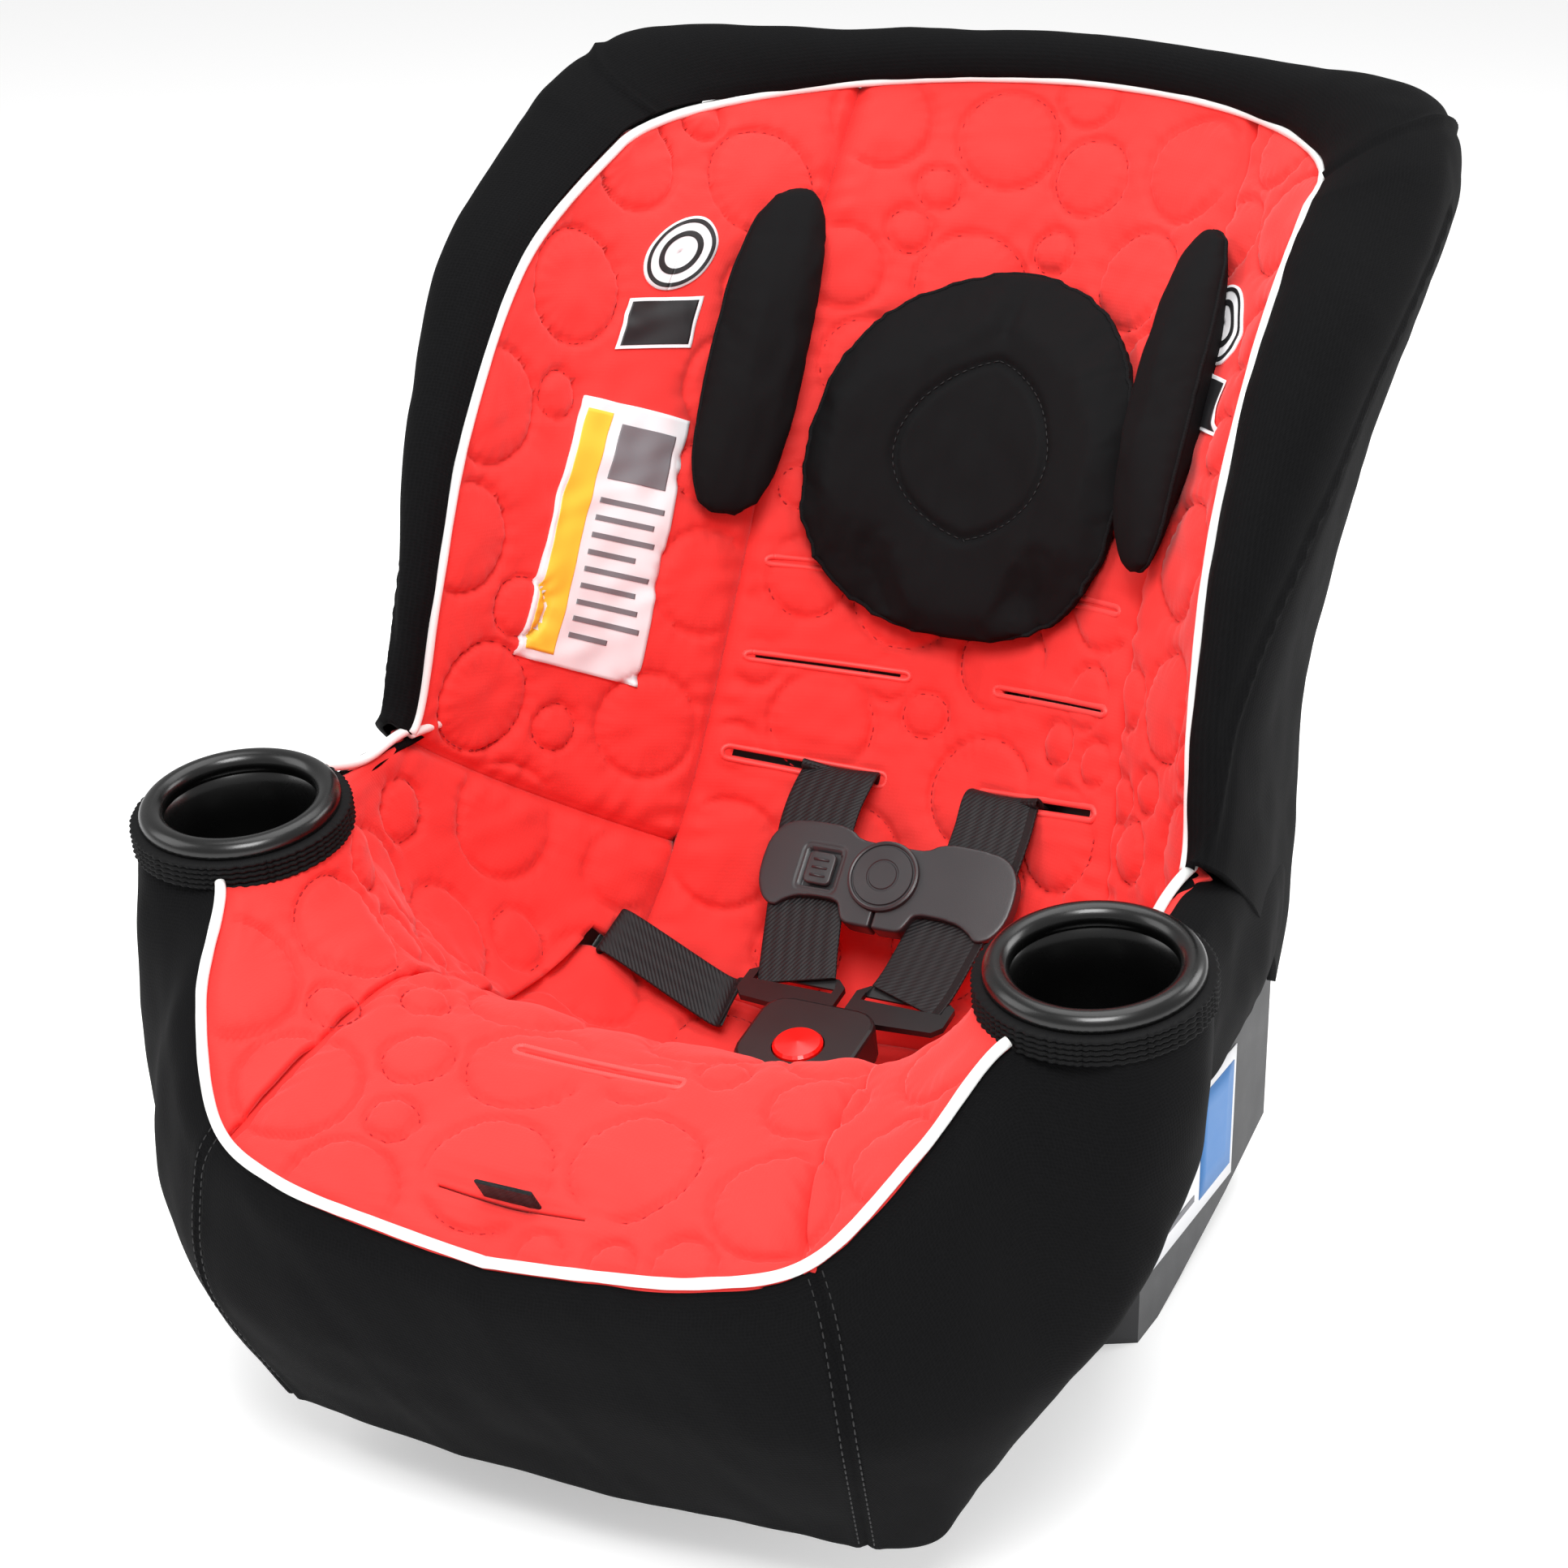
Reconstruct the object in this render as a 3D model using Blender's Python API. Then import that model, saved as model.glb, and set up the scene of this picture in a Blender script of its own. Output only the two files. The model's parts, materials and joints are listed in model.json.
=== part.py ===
"""A convertible child car seat, as the separate pieces it comes apart into.

Metres, +Z up. The seat faces -Y, X = 0 is its plane of symmetry, and the floor is Z = 0. The origin lies on
the base's rest face. Pieces named "right" lie at +X, and those named "left" at -X.

The bucket is one smooth surface, bucket(v, s): v runs down the back, through the bight and forward to the
front edge, and s runs across from the left rim (-1) to the right rim (+1). The liner, foam and shell are
layers of it, each between two depths behind that surface.
"""
import math

import bmesh
import bpy
import numpy as np
from mathutils import Matrix, Vector

LINER = 0.0080               # thin padded liner of the wings and arms
CUSHION = 0.0165             # thick padded liner of the back and the seat
SHELL_FRONT = 0.0205         # depth of the moulded shell's inner face
SHELL_BACK = 0.0245          # depth of its outer face
COVER = 0.0050               # knitted outer cover with its foam backing
PILLOW = 0.0260              # how far the head support stands out
PIPING_R = 0.0022
WEB_WIDTH = 0.038
WEB_THICK = 0.0016

CUP_X, CUP_Y = 0.1930, -0.1500
CUP_RIM_Z = 0.2735
CUP_TILT = math.radians(10)  # the cup holders lean forward
CUP_RIM_R = 0.0430
CUP_MOUTH_R = 0.0322
CUP_BODY_R = 0.0375
CUP_DEPTH = 0.066
CUP_FOOT_R = 0.0315
WELL_WALL = 0.0026
WELL_FOOT = -0.0720          # the well's underside, from the rim
SLEEVE_R = 0.0448

BASE_HALF = 0.1520
BASE_FLOOR = 0.0070
SCREWS = ((-0.098, 0.046), (0.098, 0.046), (-0.066, -0.062), (0.066, -0.062))
SCREW_R = 0.0022

# Centre line (y, z), right rim (x, y, z) and squareness of the cross-section, from the top edge to the front.
STATIONS = (
    (0.306, 0.515, 0.166, 0.159, 0.501, 1.9),
    (0.268, 0.442, 0.174, 0.075, 0.460, 1.7),
    (0.222, 0.355, 0.176, 0.020, 0.392, 1.6),
    (0.176, 0.268, 0.179, -0.006, 0.322, 1.6),
    (0.130, 0.178, 0.184, -0.020, 0.264, 1.7),
    (0.080, 0.106, 0.186, -0.045, 0.257, 1.9),
    (0.000, 0.098, 0.184, -0.080, 0.256, 2.1),
    (-0.085, 0.150, 0.158, -0.118, 0.250, 2.3),
    (-0.160, 0.201, 0.146, -0.150, 0.247, 2.4),
    (-0.235, 0.190, 0.153, -0.180, 0.247, 2.4),
    (-0.279, 0.161, 0.172, -0.197, 0.253, 2.3),
)
LAST = len(STATIONS) - 1

# Openings for the harness: v range, and the s range on the right side.
SHOULDER_SLOTS = ((2.62, 2.76), (3.12, 3.26), (3.62, 3.76))
SHOULDER_S = (0.120, 0.395)
SHOULDER_WEB_S = 0.203      # where the web's middle lies
HIP_SLOT = (4.82, 5.28)
HIP_S = (0.420, 0.505)
CROTCH_SLOTS = ((6.30, 6.48), (8.30, 8.45))
CROTCH_S = 0.130
ADJUSTER_SLIT = (9.37, 9.53)
ADJUSTER_HOLE = (9.00, 9.62)
ADJUSTER_S = 0.130


# ---------------------------------------------------------------- surfaces

def spline(points, t):
    """Catmull-Rom curve through rows of numbers, at parameter t counted in rows."""
    last = len(points) - 1
    i = min(int(max(t, 0)), last - 1)
    f = min(max(t, 0), last) - i
    p = [np.array(points[min(max(k, 0), last)], float) for k in (i - 1, i, i + 1, i + 2)]
    return 0.5 * (2 * p[1] + (p[2] - p[0]) * f + (2 * p[0] - 5 * p[1] + 4 * p[2] - p[3]) * f ** 2
                  + (3 * p[1] - p[0] - 3 * p[2] + p[3]) * f ** 3)


def bucket(v, s):
    """A point of the bucket's inner surface."""
    cy, cz, rx, ry, rz, square = spline(STATIONS, v)
    angle = abs(s) * math.pi / 2
    across = math.sin(angle) ** (2 / square)
    rise = 1 - max(math.cos(angle), 0) ** (2 / square)
    return np.array((math.copysign(rx * across, s), cy + (ry - cy) * rise, cz + (rz - cz) * rise))


def bucket_normal(v, s):
    """Unit normal of the bucket, pointing to the child."""
    dv, ds = 0.02, 0.01
    s = max(-0.985, min(0.985, s))
    v = max(0.02, min(LAST - 0.02, v))
    n = np.cross(bucket(v + dv, s) - bucket(v - dv, s), bucket(v, s + ds) - bucket(v, s - ds))
    return n / np.linalg.norm(n)


def grid_of(surface, rows, columns):
    """Points of surface(row, column) as an array."""
    return np.array([[surface(a, b) for b in columns] for a in rows])


def grid_normals(points):
    """Unit normals of a grid of points: the row direction crossed with the column direction."""
    n = np.cross(np.gradient(points, axis=0), np.gradient(points, axis=1))
    return n / np.maximum(np.linalg.norm(n, axis=2, keepdims=True), 1e-9)


# ---------------------------------------------------------------- objects

def start():
    """Empties the scene."""
    for old in list(bpy.data.objects):
        bpy.data.objects.remove(old, do_unlink=True)


def material(name, color, roughness, metallic=0.0):
    """A Principled material."""
    made = bpy.data.materials.new(name)
    made.use_nodes = True
    shader = made.node_tree.nodes["Principled BSDF"]
    shader.inputs["Base Color"].default_value = (*color, 1)
    shader.inputs["Roughness"].default_value = roughness
    shader.inputs["Metallic"].default_value = metallic
    return made


def add(name, verts, faces, mat, smooth=True):
    """A mesh object, with its faces turned outwards."""
    mesh = bpy.data.meshes.new(name)
    mesh.from_pydata([tuple(map(float, p)) for p in verts], [], faces)
    work = bmesh.new()
    work.from_mesh(mesh)
    bmesh.ops.recalc_face_normals(work, faces=work.faces)
    work.to_mesh(mesh)
    work.free()
    mesh.materials.append(mat)
    if smooth:
        mesh.shade_smooth()
        mesh.set_sharp_from_angle(angle=math.radians(35))
    made = bpy.data.objects.new(name, mesh)
    bpy.context.scene.collection.objects.link(made)
    return made


def slab(name, points, normals, near, far, mat, keep=None):
    """A closed sheet between two offsets along the normals. Cells that keep() rejects become openings."""
    rows, columns = points.shape[:2]
    used = [[keep is None or keep(i, j) for j in range(columns - 1)] for i in range(rows - 1)]
    upper = (points + normals * near).reshape(-1, 3)
    lower = (points + normals * far).reshape(-1, 3)
    verts = np.vstack((upper, lower))
    under = rows * columns

    def at(i, j):
        return i * columns + j

    def solid(i, j):
        return 0 <= i < rows - 1 and 0 <= j < columns - 1 and used[i][j]

    faces = []
    for i in range(rows - 1):
        for j in range(columns - 1):
            if not used[i][j]:
                continue
            a, b, c, d = at(i, j), at(i, j + 1), at(i + 1, j + 1), at(i + 1, j)
            faces.append((a, b, c, d))
            faces.append((d + under, c + under, b + under, a + under))
            for p, q, ni, nj in ((a, b, i - 1, j), (b, c, i, j + 1), (c, d, i + 1, j), (d, a, i, j - 1)):
                if not solid(ni, nj):
                    faces.append((q, p, p + under, q + under))
    live = sorted({k for f in faces for k in f})
    index = {k: n for n, k in enumerate(live)}
    return add(name, verts[live], [tuple(index[k] for k in f) for f in faces], mat)


def layer(name, rows, columns, near, far, mat, keep=None):
    """A layer of the bucket between two depths behind its surface."""
    points = grid_of(bucket, rows, columns)
    normals = grid_of(bucket_normal, rows, columns)
    return slab(name, points, normals, -near, -far, mat, keep)


def tapered(columns, depth):
    """Depths for a panel whose edge thins out at the rim."""
    return np.array([depth if abs(s) < 0.93 else 0.0014 for s in columns])[None, :, None]


def ribbon(name, path, across, width, thick, mat, steps):
    """Webbing along a smooth path, with its width along the across directions."""
    spots = np.linspace(0, len(path) - 1, steps)
    centre = np.array([spline(path, t) for t in spots])
    side = np.array([spline(across, t) for t in spots])
    side /= np.linalg.norm(side, axis=1, keepdims=True)
    points = np.stack((centre - side * width / 2, centre + side * width / 2), axis=1)
    run = np.gradient(centre, axis=0)
    normal = np.cross(run, side)
    normal /= np.linalg.norm(normal, axis=1, keepdims=True)
    return slab(name, points, np.stack((normal, normal), axis=1), thick / 2, -thick / 2, mat)


def tube(name, path, radius, mat, sides=6):
    """A round cord along a list of points, with closed ends."""
    path = np.array(path, float)
    run = np.gradient(path, axis=0)
    run /= np.linalg.norm(run, axis=1, keepdims=True)
    one = np.array((0.31, 0.42, 0.85))
    verts = []
    for point, along in zip(path, run):
        one = one - along * (one @ along)
        one /= np.linalg.norm(one)
        two = np.cross(along, one)
        for k in range(sides):
            angle = 2 * math.pi * k / sides
            verts.append(point + radius * (math.cos(angle) * one + math.sin(angle) * two))
    faces = []
    for i in range(len(path) - 1):
        for k in range(sides):
            m = (k + 1) % sides
            faces.append((i * sides + k, i * sides + m, (i + 1) * sides + m, (i + 1) * sides + k))
    faces.append(tuple(range(sides)))
    faces.append(tuple((len(path) - 1) * sides + k for k in range(sides)))
    return add(name, verts, faces, mat)


def turned(name, profile, mat, steps=28, place=Matrix.Identity(4)):
    """A body turned about its own Z axis. The profile is a closed loop of (radius, z), and 0 is the axis."""
    verts, rings = [], []
    for r, z in profile:
        if r < 1e-7:
            rings.append([len(verts)] * steps)
            verts.append(place @ Vector((0, 0, z)))
        else:
            rings.append(list(range(len(verts), len(verts) + steps)))
            verts += [place @ Vector((r * math.cos(2 * math.pi * k / steps),
                                      r * math.sin(2 * math.pi * k / steps), z)) for k in range(steps)]
    faces = []
    count = len(rings)
    for i in range(count):
        a, b = rings[i], rings[(i + 1) % count]
        if a[0] == a[1] and b[0] == b[1]:
            continue
        for k in range(steps):
            m = (k + 1) % steps
            corners = [a[k], a[m], b[m], b[k]]
            faces.append(tuple(dict.fromkeys(corners)))
    return add(name, verts, faces, mat)


def plate(name, outline, low, high, mat, place=Matrix.Identity(4), bevel=0.0):
    """An outline in the local XY plane, extruded from low to high along local Z."""
    count = len(outline)
    verts = [(x, y, low) for x, y in outline] + [(x, y, high) for x, y in outline]
    faces = [tuple(range(count)), tuple(range(count, 2 * count))]
    faces += [(k, (k + 1) % count, (k + 1) % count + count, k + count) for k in range(count)]
    made = add(name, [place @ Vector(p) for p in verts], faces, mat)
    if bevel:
        soften(made, bevel)
    return made


def block(name, centre, size, mat, place=Matrix.Identity(4), bevel=0.0):
    """A box, centred in a local frame."""
    x, y, z = (d / 2 for d in size)
    cx, cy, cz = centre
    outline = [(cx - x, cy - y), (cx + x, cy - y), (cx + x, cy + y), (cx - x, cy + y)]
    return plate(name, outline, cz - z, cz + z, mat, place, bevel)


def soften(made, width, segments=2):
    """Rounds an object's edges."""
    bevel = made.modifiers.new("soft_edges", "BEVEL")
    bevel.width = width
    bevel.segments = segments
    bevel.limit_method = "ANGLE"
    bevel.angle_limit = math.radians(40)


def hide(tool):
    """Marks a cutter or a guide, which is not a piece."""
    tool.hide_render = True
    tool.display_type = "WIRE"


def cut(made, tool, operation="DIFFERENCE"):
    """Takes a cutter away from an object, or keeps only what lies inside it."""
    hide(tool)
    away = made.modifiers.new("cut", "BOOLEAN")
    away.operation = operation
    away.object = tool


def join(made, tool):
    """Unites an object with a hidden helper solid."""
    hide(tool)
    both = made.modifiers.new("join", "BOOLEAN")
    both.operation = "UNION"
    both.object = tool


def frame_at(origin, x_axis, y_axis):
    """A local frame whose X and Y axes are given; Z is their cross product."""
    x = Vector(x_axis).normalized()
    z = x.cross(Vector(y_axis)).normalized()
    y = z.cross(x)
    made = Matrix((x, y, z)).transposed().to_4x4()
    made.translation = Vector(origin)
    return made


def rounded(width, height, radius, steps=4):
    """Outline of a rectangle with round corners, centred on the origin."""
    points = []
    for cx, cy, first in ((1, 1, 0), (-1, 1, 90), (-1, -1, 180), (1, -1, 270)):
        for k in range(steps + 1):
            angle = math.radians(first + 90 * k / steps)
            points.append((cx * (width / 2 - radius) + radius * math.cos(angle),
                           cy * (height / 2 - radius) + radius * math.sin(angle)))
    return points


def mirrored(points):
    """The left-hand twin of a list of points."""
    return [(-p[0], *p[1:]) for p in points]


SIDES = (("left", -1), ("right", 1))


# ---------------------------------------------------------------- liner, foam and shell

def spread(*stops):
    """Sorted grid lines: each stop is (from, to, number of lines)."""
    lines = []
    for low, high, count in stops:
        lines += list(np.linspace(low, high, count))
    return sorted({round(float(k), 5) for k in lines})


def inside(value, low, high):
    return low - 1e-6 <= value <= high + 1e-6


def slot_test(rows, columns, adjuster):
    """keep() for a layer that the harness passes through."""
    def keep(i, j):
        v, s = (rows[i] + rows[i + 1]) / 2, abs(columns[j] + columns[j + 1]) / 2
        if any(inside(v, *span) for span in SHOULDER_SLOTS) and inside(s, *SHOULDER_S):
            return False
        if any(inside(v, *span) for span in CROTCH_SLOTS) and s < CROTCH_S:
            return False
        if inside(v, *adjuster) and s < ADJUSTER_S:
            return False
        return not (inside(v, *HIP_SLOT) and inside(s, *HIP_S))
    return keep


def both_sides(*values):
    return sorted({*values, *(-k for k in values)})


def shell(mats):
    """The moulded bucket, with its harness slots and the screw towers under it."""
    rows = spread((0.0, 2.3, 6), (*SHOULDER_SLOTS[0], 2), (*SHOULDER_SLOTS[1], 2), (*SHOULDER_SLOTS[2], 2),
                  (4.0, 4.6, 3), (*HIP_SLOT, 2), (5.5, 6.1, 3), (*CROTCH_SLOTS[0], 2), (6.9, 8.0, 4),
                  (*CROTCH_SLOTS[1], 2), (8.8, ADJUSTER_HOLE[0], 2), (ADJUSTER_HOLE[1], 9.93, 2))
    columns = both_sides(0.0, 0.12, 0.250, 0.395, 0.420, 0.505, 0.61, 0.69, 0.765)
    made = layer("seat_shell", rows, columns, SHELL_FRONT, SHELL_BACK, mats["shell"],
                 slot_test(rows, columns, ADJUSTER_HOLE))
    trim = layer("tower_trim_guide", spread((5.0, 9.0, 17)), both_sides(0.0, 0.15, 0.3, 0.45, 0.6, 0.75),
                 -0.030, (SHELL_FRONT + SHELL_BACK) / 2, mats["shell"])
    hide(trim)
    for n, (x, y) in enumerate(SCREWS):
        at = Matrix.Translation((x, y, 0))
        tower = turned(f"tower_guide_{n}", [(0, BASE_FLOOR + 0.014), (SCREW_R + 0.0003, BASE_FLOOR + 0.014),
                                            (SCREW_R + 0.0003, BASE_FLOOR + 0.0006), (0.0065, BASE_FLOOR + 0.0006),
                                            (0.0065, 0.130), (0, 0.130)], mats["shell"], 12, at)
        cut(tower, trim)
        join(made, tower)
    for side, sign in SIDES:
        cut(made, cup_room("shell_cup_guide_" + side, sign, mats["shell"]))


def liner(mats):
    """The quilted panels that the child sits in, and the energy-absorbing foam in the wings."""
    rows = spread((0.06, 2.3, 6), (*SHOULDER_SLOTS[0], 2), (*SHOULDER_SLOTS[1], 2), (*SHOULDER_SLOTS[2], 2),
                  (4.0, 5.02, 5))
    columns = both_sides(0.0, 0.12, 0.250, 0.395, 0.415)
    layer("liner_back", rows, columns, 0.0, CUSHION, mats["liner"], slot_test(rows, columns, ADJUSTER_SLIT))
    rows = spread((5.06, HIP_SLOT[1], 2), (5.6, 6.1, 3), (*CROTCH_SLOTS[0], 2), (6.9, 8.0, 4),
                  (*CROTCH_SLOTS[1], 2), (8.8, 9.2, 2),
                  (*ADJUSTER_SLIT, 2), (9.94, 9.94, 1))
    columns = both_sides(0.0, 0.13, 0.26, 0.415, 0.49)
    layer("liner_seat", rows, columns, 0.0, CUSHION, mats["liner"], slot_test(rows, columns, ADJUSTER_SLIT))
    wings = []
    for side, sign in SIDES:
        columns = sorted(sign * k for k in (0.430, 0.54, 0.65, 0.76, 0.87, 0.98))
        wings.append(layer("liner_wing_" + side, spread((0.06, 4.24, 12)), columns, 0.0, tapered(columns, LINER),
                           mats["liner"]))
        columns = sorted(sign * k for k in (0.430, 0.510, 0.63, 0.75, 0.87, 0.98))
        rows = spread((4.28, HIP_SLOT[0], 3), (HIP_SLOT[1], 9.94, 13))
        middles = [abs(columns[j] + columns[j + 1]) / 2 for j in range(len(columns) - 1)]
        arm = layer("liner_arm_" + side, rows, columns, 0.0, tapered(columns, LINER), mats["liner"],
                    lambda i, j: middles[j] > 0.510 or rows[i] < HIP_SLOT[0] - 0.01)
        cut(arm, cup_room("liner_cup_guide_" + side, sign, mats["liner"]))
        columns = sorted(sign * k for k in (0.46, 0.56, 0.66, 0.75))
        layer("wing_foam_" + side, spread((0.5, 3.9, 9)), columns, LINER + 0.002, SHELL_FRONT - 0.002,
              mats["foam"])
    return wings


def cushion(name, centre, half, power, top, mat, turns):
    """A domed cushion lying on the bucket's surface; its centre and half extents are in (v, s)."""
    def ring(reach, depth):
        points = []
        for n in range(turns):
            c, d = math.cos(math.tau * n / turns), math.sin(math.tau * n / turns)
            v = centre[0] + half[0] * reach * math.copysign(abs(d) ** (2 / power), d)
            s = centre[1] + half[1] * reach * math.copysign(abs(c) ** (2 / power), c)
            points.append(bucket(v, s) - bucket_normal(v, s) * depth)
        return points
    middle = bucket(*centre)
    normal = bucket_normal(*centre)
    rings = [ring(0.45, -0.0030), ring(0.92, -0.0025), ring(1.0, top * 0.35), ring(0.96, top * 0.75),
             ring(0.78, top), ring(0.40, top)]
    verts = [middle + normal * 0.0030] + [p for points in rings for p in points] + [middle - normal * top]
    faces = []
    for n in range(turns):
        m = (n + 1) % turns
        faces.append((0, 1 + m, 1 + n))
        for k in range(len(rings) - 1):
            low, high = 1 + k * turns, 1 + (k + 1) * turns
            faces.append((low + n, low + m, high + m, high + n))
        faces.append((1 + (len(rings) - 1) * turns + n, 1 + (len(rings) - 1) * turns + m, len(verts) - 1))
    return add(name, verts, faces, mat)


def pillow(mats):
    """The removable head support: a main pad with an upright bolster on each side."""
    cushion("pillow_pad", (2.10, 0.0), (0.84, 0.375), 3.0, -PILLOW, mats["pillow"], 32)
    for side, sign in SIDES:
        middle = (1.80, sign * 0.475)
        cushion("pillow_bolster_" + side, middle, (0.86, 0.066), 3.0, -PILLOW * 0.9, mats["pillow"], 20)


# ---------------------------------------------------------------- outer cover

# Along the back's rim from the top centre to the arm: v, s, the outward and rearward directions, the
# width of the roll and how far the cover reaches back.
BAND = (
    (0.0, 0.00, (0.00, 0.20, 0.98), (0.00, 1.00, -0.20), 0.018, 0.046),
    (0.0, 0.42, (0.06, 0.20, 0.98), (-0.02, 1.00, -0.18), 0.021, 0.050),
    (0.0, 0.66, (0.36, 0.16, 0.92), (-0.02, 0.98, -0.18), 0.032, 0.064),
    (0.0, 0.84, (0.72, 0.06, 0.69), (-0.04, 0.98, -0.18), 0.044, 0.092),
    (0.12, 1.00, (0.90, -0.02, 0.44), (-0.06, 0.97, -0.20), 0.047, 0.122),
    (0.6, 1.00, (0.97, -0.04, 0.24), (-0.10, 0.96, -0.22), 0.044, 0.140),
    (1.3, 1.00, (0.99, -0.04, 0.10), (-0.14, 0.95, -0.24), 0.038, 0.146),
    (2.1, 1.00, (1.00, -0.02, 0.02), (-0.12, 0.95, -0.25), 0.029, 0.150),
    (2.9, 1.00, (1.00, 0.00, 0.00), (-0.10, 0.93, -0.31), 0.022, 0.150),
    (3.6, 1.00, (1.00, 0.00, 0.00), (-0.08, 0.87, -0.45), 0.019, 0.150),
    (4.2, 1.00, (1.00, 0.00, 0.00), (-0.07, 0.76, -0.63), 0.019, 0.150),
)
# The roll's section: how far out as a share of its width, and how far back as a share of its reach.
BAND_SECTION = ((0.02, 0.000), (0.24, -0.045), (0.55, -0.050), (0.82, 0.020), (1.00, 0.170), (1.03, 0.330),
                (0.98, 0.560), (0.86, 0.800), (0.62, 1.000))


def band_rim(t):
    """The line of the piping round the back: just in front of the rim."""
    v, s, by, bz = spline([(row[0], row[1], row[3][1], row[3][2]) for row in BAND], t)
    return bucket(max(v, 0.0), min(s, 1.0)) - np.array((0, by, bz)) * 0.0014


def band_point(t, k):
    """A point of the outer cover round the back: t along the rim, k across the roll."""
    row = [np.hstack((v, s, out, back, width, reach)) for v, s, out, back, width, reach in BAND]
    v, s, ox, oy, oz, bx, by, bz, width, reach = spline(row, t)
    out_share, back_share = spline(BAND_SECTION, k)
    out = np.array((ox, oy, oz)) / np.linalg.norm((ox, oy, oz))
    back = np.array((bx, by, bz)) / np.linalg.norm((bx, by, bz))
    rim = bucket(max(v, 0.0), min(s, 1.0))
    return rim + out * (out_share * width + 0.0042 * max(1 - k, 0)) + back * (back_share * reach)


def outer_back(mats):
    """The knitted cover rolled over the rim of the back: a top piece and two sides."""
    across = np.linspace(0, len(BAND_SECTION) - 1, 9)
    split = 3.3
    top = np.linspace(0, split - 0.02, 8)
    points = grid_of(band_point, top, across)
    twin = points[::-1].copy() * (-1, 1, 1)
    points = np.concatenate((twin[:-1], points))
    thick = np.array((0.0010, 0.0035) + (COVER,) * 7)[None, :, None]
    slab("cover_top", points, grid_normals(points), 0.0, thick, mats["knit"])
    down = np.linspace(split + 0.02, len(BAND) - 1, 12)
    points = grid_of(band_point, down, across)
    for side, sign in SIDES:
        mine = points * (sign, 1, 1)
        slab("cover_wing_" + side, mine, grid_normals(mine) * sign, 0.0, thick, mats["knit"])


# The skirt round the seat, from the front centre to behind the arm: four points down each section.
def sleeve_point(degrees, z, radius=SLEEVE_R + 0.0010):
    """A point on the outside of the right cup sleeve, counted from the front round the outer side."""
    angle = math.radians(degrees)
    return (CUP_X + radius * math.sin(angle), CUP_Y - radius * math.cos(angle), z)


SKIRT = (
    ((0.000, -0.2815, 0.158), (0.000, -0.2850, 0.140), (0.000, -0.2690, 0.095), (0.000, -0.2350, 0.040)),
    ((0.045, -0.2815, 0.163), (0.045, -0.2850, 0.145), (0.045, -0.2690, 0.096), (0.045, -0.2340, 0.039)),
    ((0.093, -0.2810, 0.171), (0.094, -0.2840, 0.153), (0.098, -0.2690, 0.100), (0.094, -0.2290, 0.038)),
    ((0.131, -0.2660, 0.182), (0.139, -0.2690, 0.161), (0.144, -0.2610, 0.105), (0.133, -0.2200, 0.036)),
    ((0.158, -0.2330, 0.217), (0.170, -0.2420, 0.190), (0.178, -0.2370, 0.115), (0.153, -0.2040, 0.034)),
    (sleeve_point(8, 0.236), (0.199, -0.2120, 0.200), (0.203, -0.2060, 0.125), (0.163, -0.1940, 0.047)),
    (sleeve_point(48, 0.235), (0.2250, -0.1840, 0.196), (0.2200, -0.1790, 0.140), (0.172, -0.1680, 0.070)),
    (sleeve_point(90, 0.234), (0.2360, -0.1500, 0.200), (0.2280, -0.1480, 0.166), (0.187, -0.1530, 0.118)),
    (sleeve_point(132, 0.234), (0.2290, -0.1150, 0.206), (0.2220, -0.1150, 0.178), (0.199, -0.1330, 0.152)),
    (sleeve_point(172, 0.235), (0.2160, -0.0880, 0.222), (0.2130, -0.0830, 0.190), (0.200, -0.0900, 0.163)),
    ((0.1885, -0.0650, 0.256), (0.2060, -0.0620, 0.244), (0.2070, -0.0540, 0.200), (0.200, -0.0480, 0.167)),
    ((0.1870, -0.0300, 0.258), (0.2040, -0.0280, 0.248), (0.2050, -0.0180, 0.206), (0.200, -0.0080, 0.170)),
)
SKIRT_CORNER = 3


def skirt_grid(first, last, steps):
    """The skirt's outer surface between two sections."""
    down = np.linspace(0, 3, 6)
    columns = [np.array([spline(section, k) for k in down]) for section in SKIRT]
    flat = [c.reshape(-1) for c in columns]
    return np.array([spline(flat, t).reshape(-1, 3) for t in np.linspace(first, last, steps)])


def outer_seat(mats):
    """The knitted skirt below the piping: a front panel and two side panels."""
    front = skirt_grid(0, SKIRT_CORNER - 0.03, 6)
    twin = front[::-1].copy() * (-1, 1, 1)
    front = np.concatenate((twin[:-1], front))
    thick = np.array((0.0012, 0.0035, COVER, COVER, COVER, COVER))[None, :, None]
    slab("skirt_front", front, grid_normals(front), 0.0, thick, mats["knit"])
    points = skirt_grid(SKIRT_CORNER + 0.03, len(SKIRT) - 1, 18)
    for side, sign in SIDES:
        mine = points * (sign, 1, 1)
        skirt = slab("skirt_" + side, mine, grid_normals(mine) * sign, 0.0, thick, mats["knit"])
        cut(skirt, cup_room("skirt_cup_guide_" + side, sign, mats["knit"]))


def piping(mats, beside):
    """White cord sewn into the seams between liner and outer cover."""
    lift = PIPING_R + 0.0006
    right = [band_rim(t) for t in np.linspace(0, len(BAND) - 1, 20)]
    left = [p * (-1, 1, 1) for p in right[:0:-1]]
    tube("piping_back", left + right, PIPING_R, mats["piping"])
    for made in beside:
        cut(made, tube("guide_for_" + made.name, left + right, PIPING_R + 0.0004, mats["piping"]))
    edge = skirt_grid(0, 4.35, 12)[:, 0]
    right = [p + np.array((0.0, -0.0008, lift + 0.0010)) for p in edge]
    left = [p * (-1, 1, 1) for p in right[:0:-1]]
    tube("piping_front", left + right, PIPING_R, mats["piping"])


# ---------------------------------------------------------------- cup holders

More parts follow.
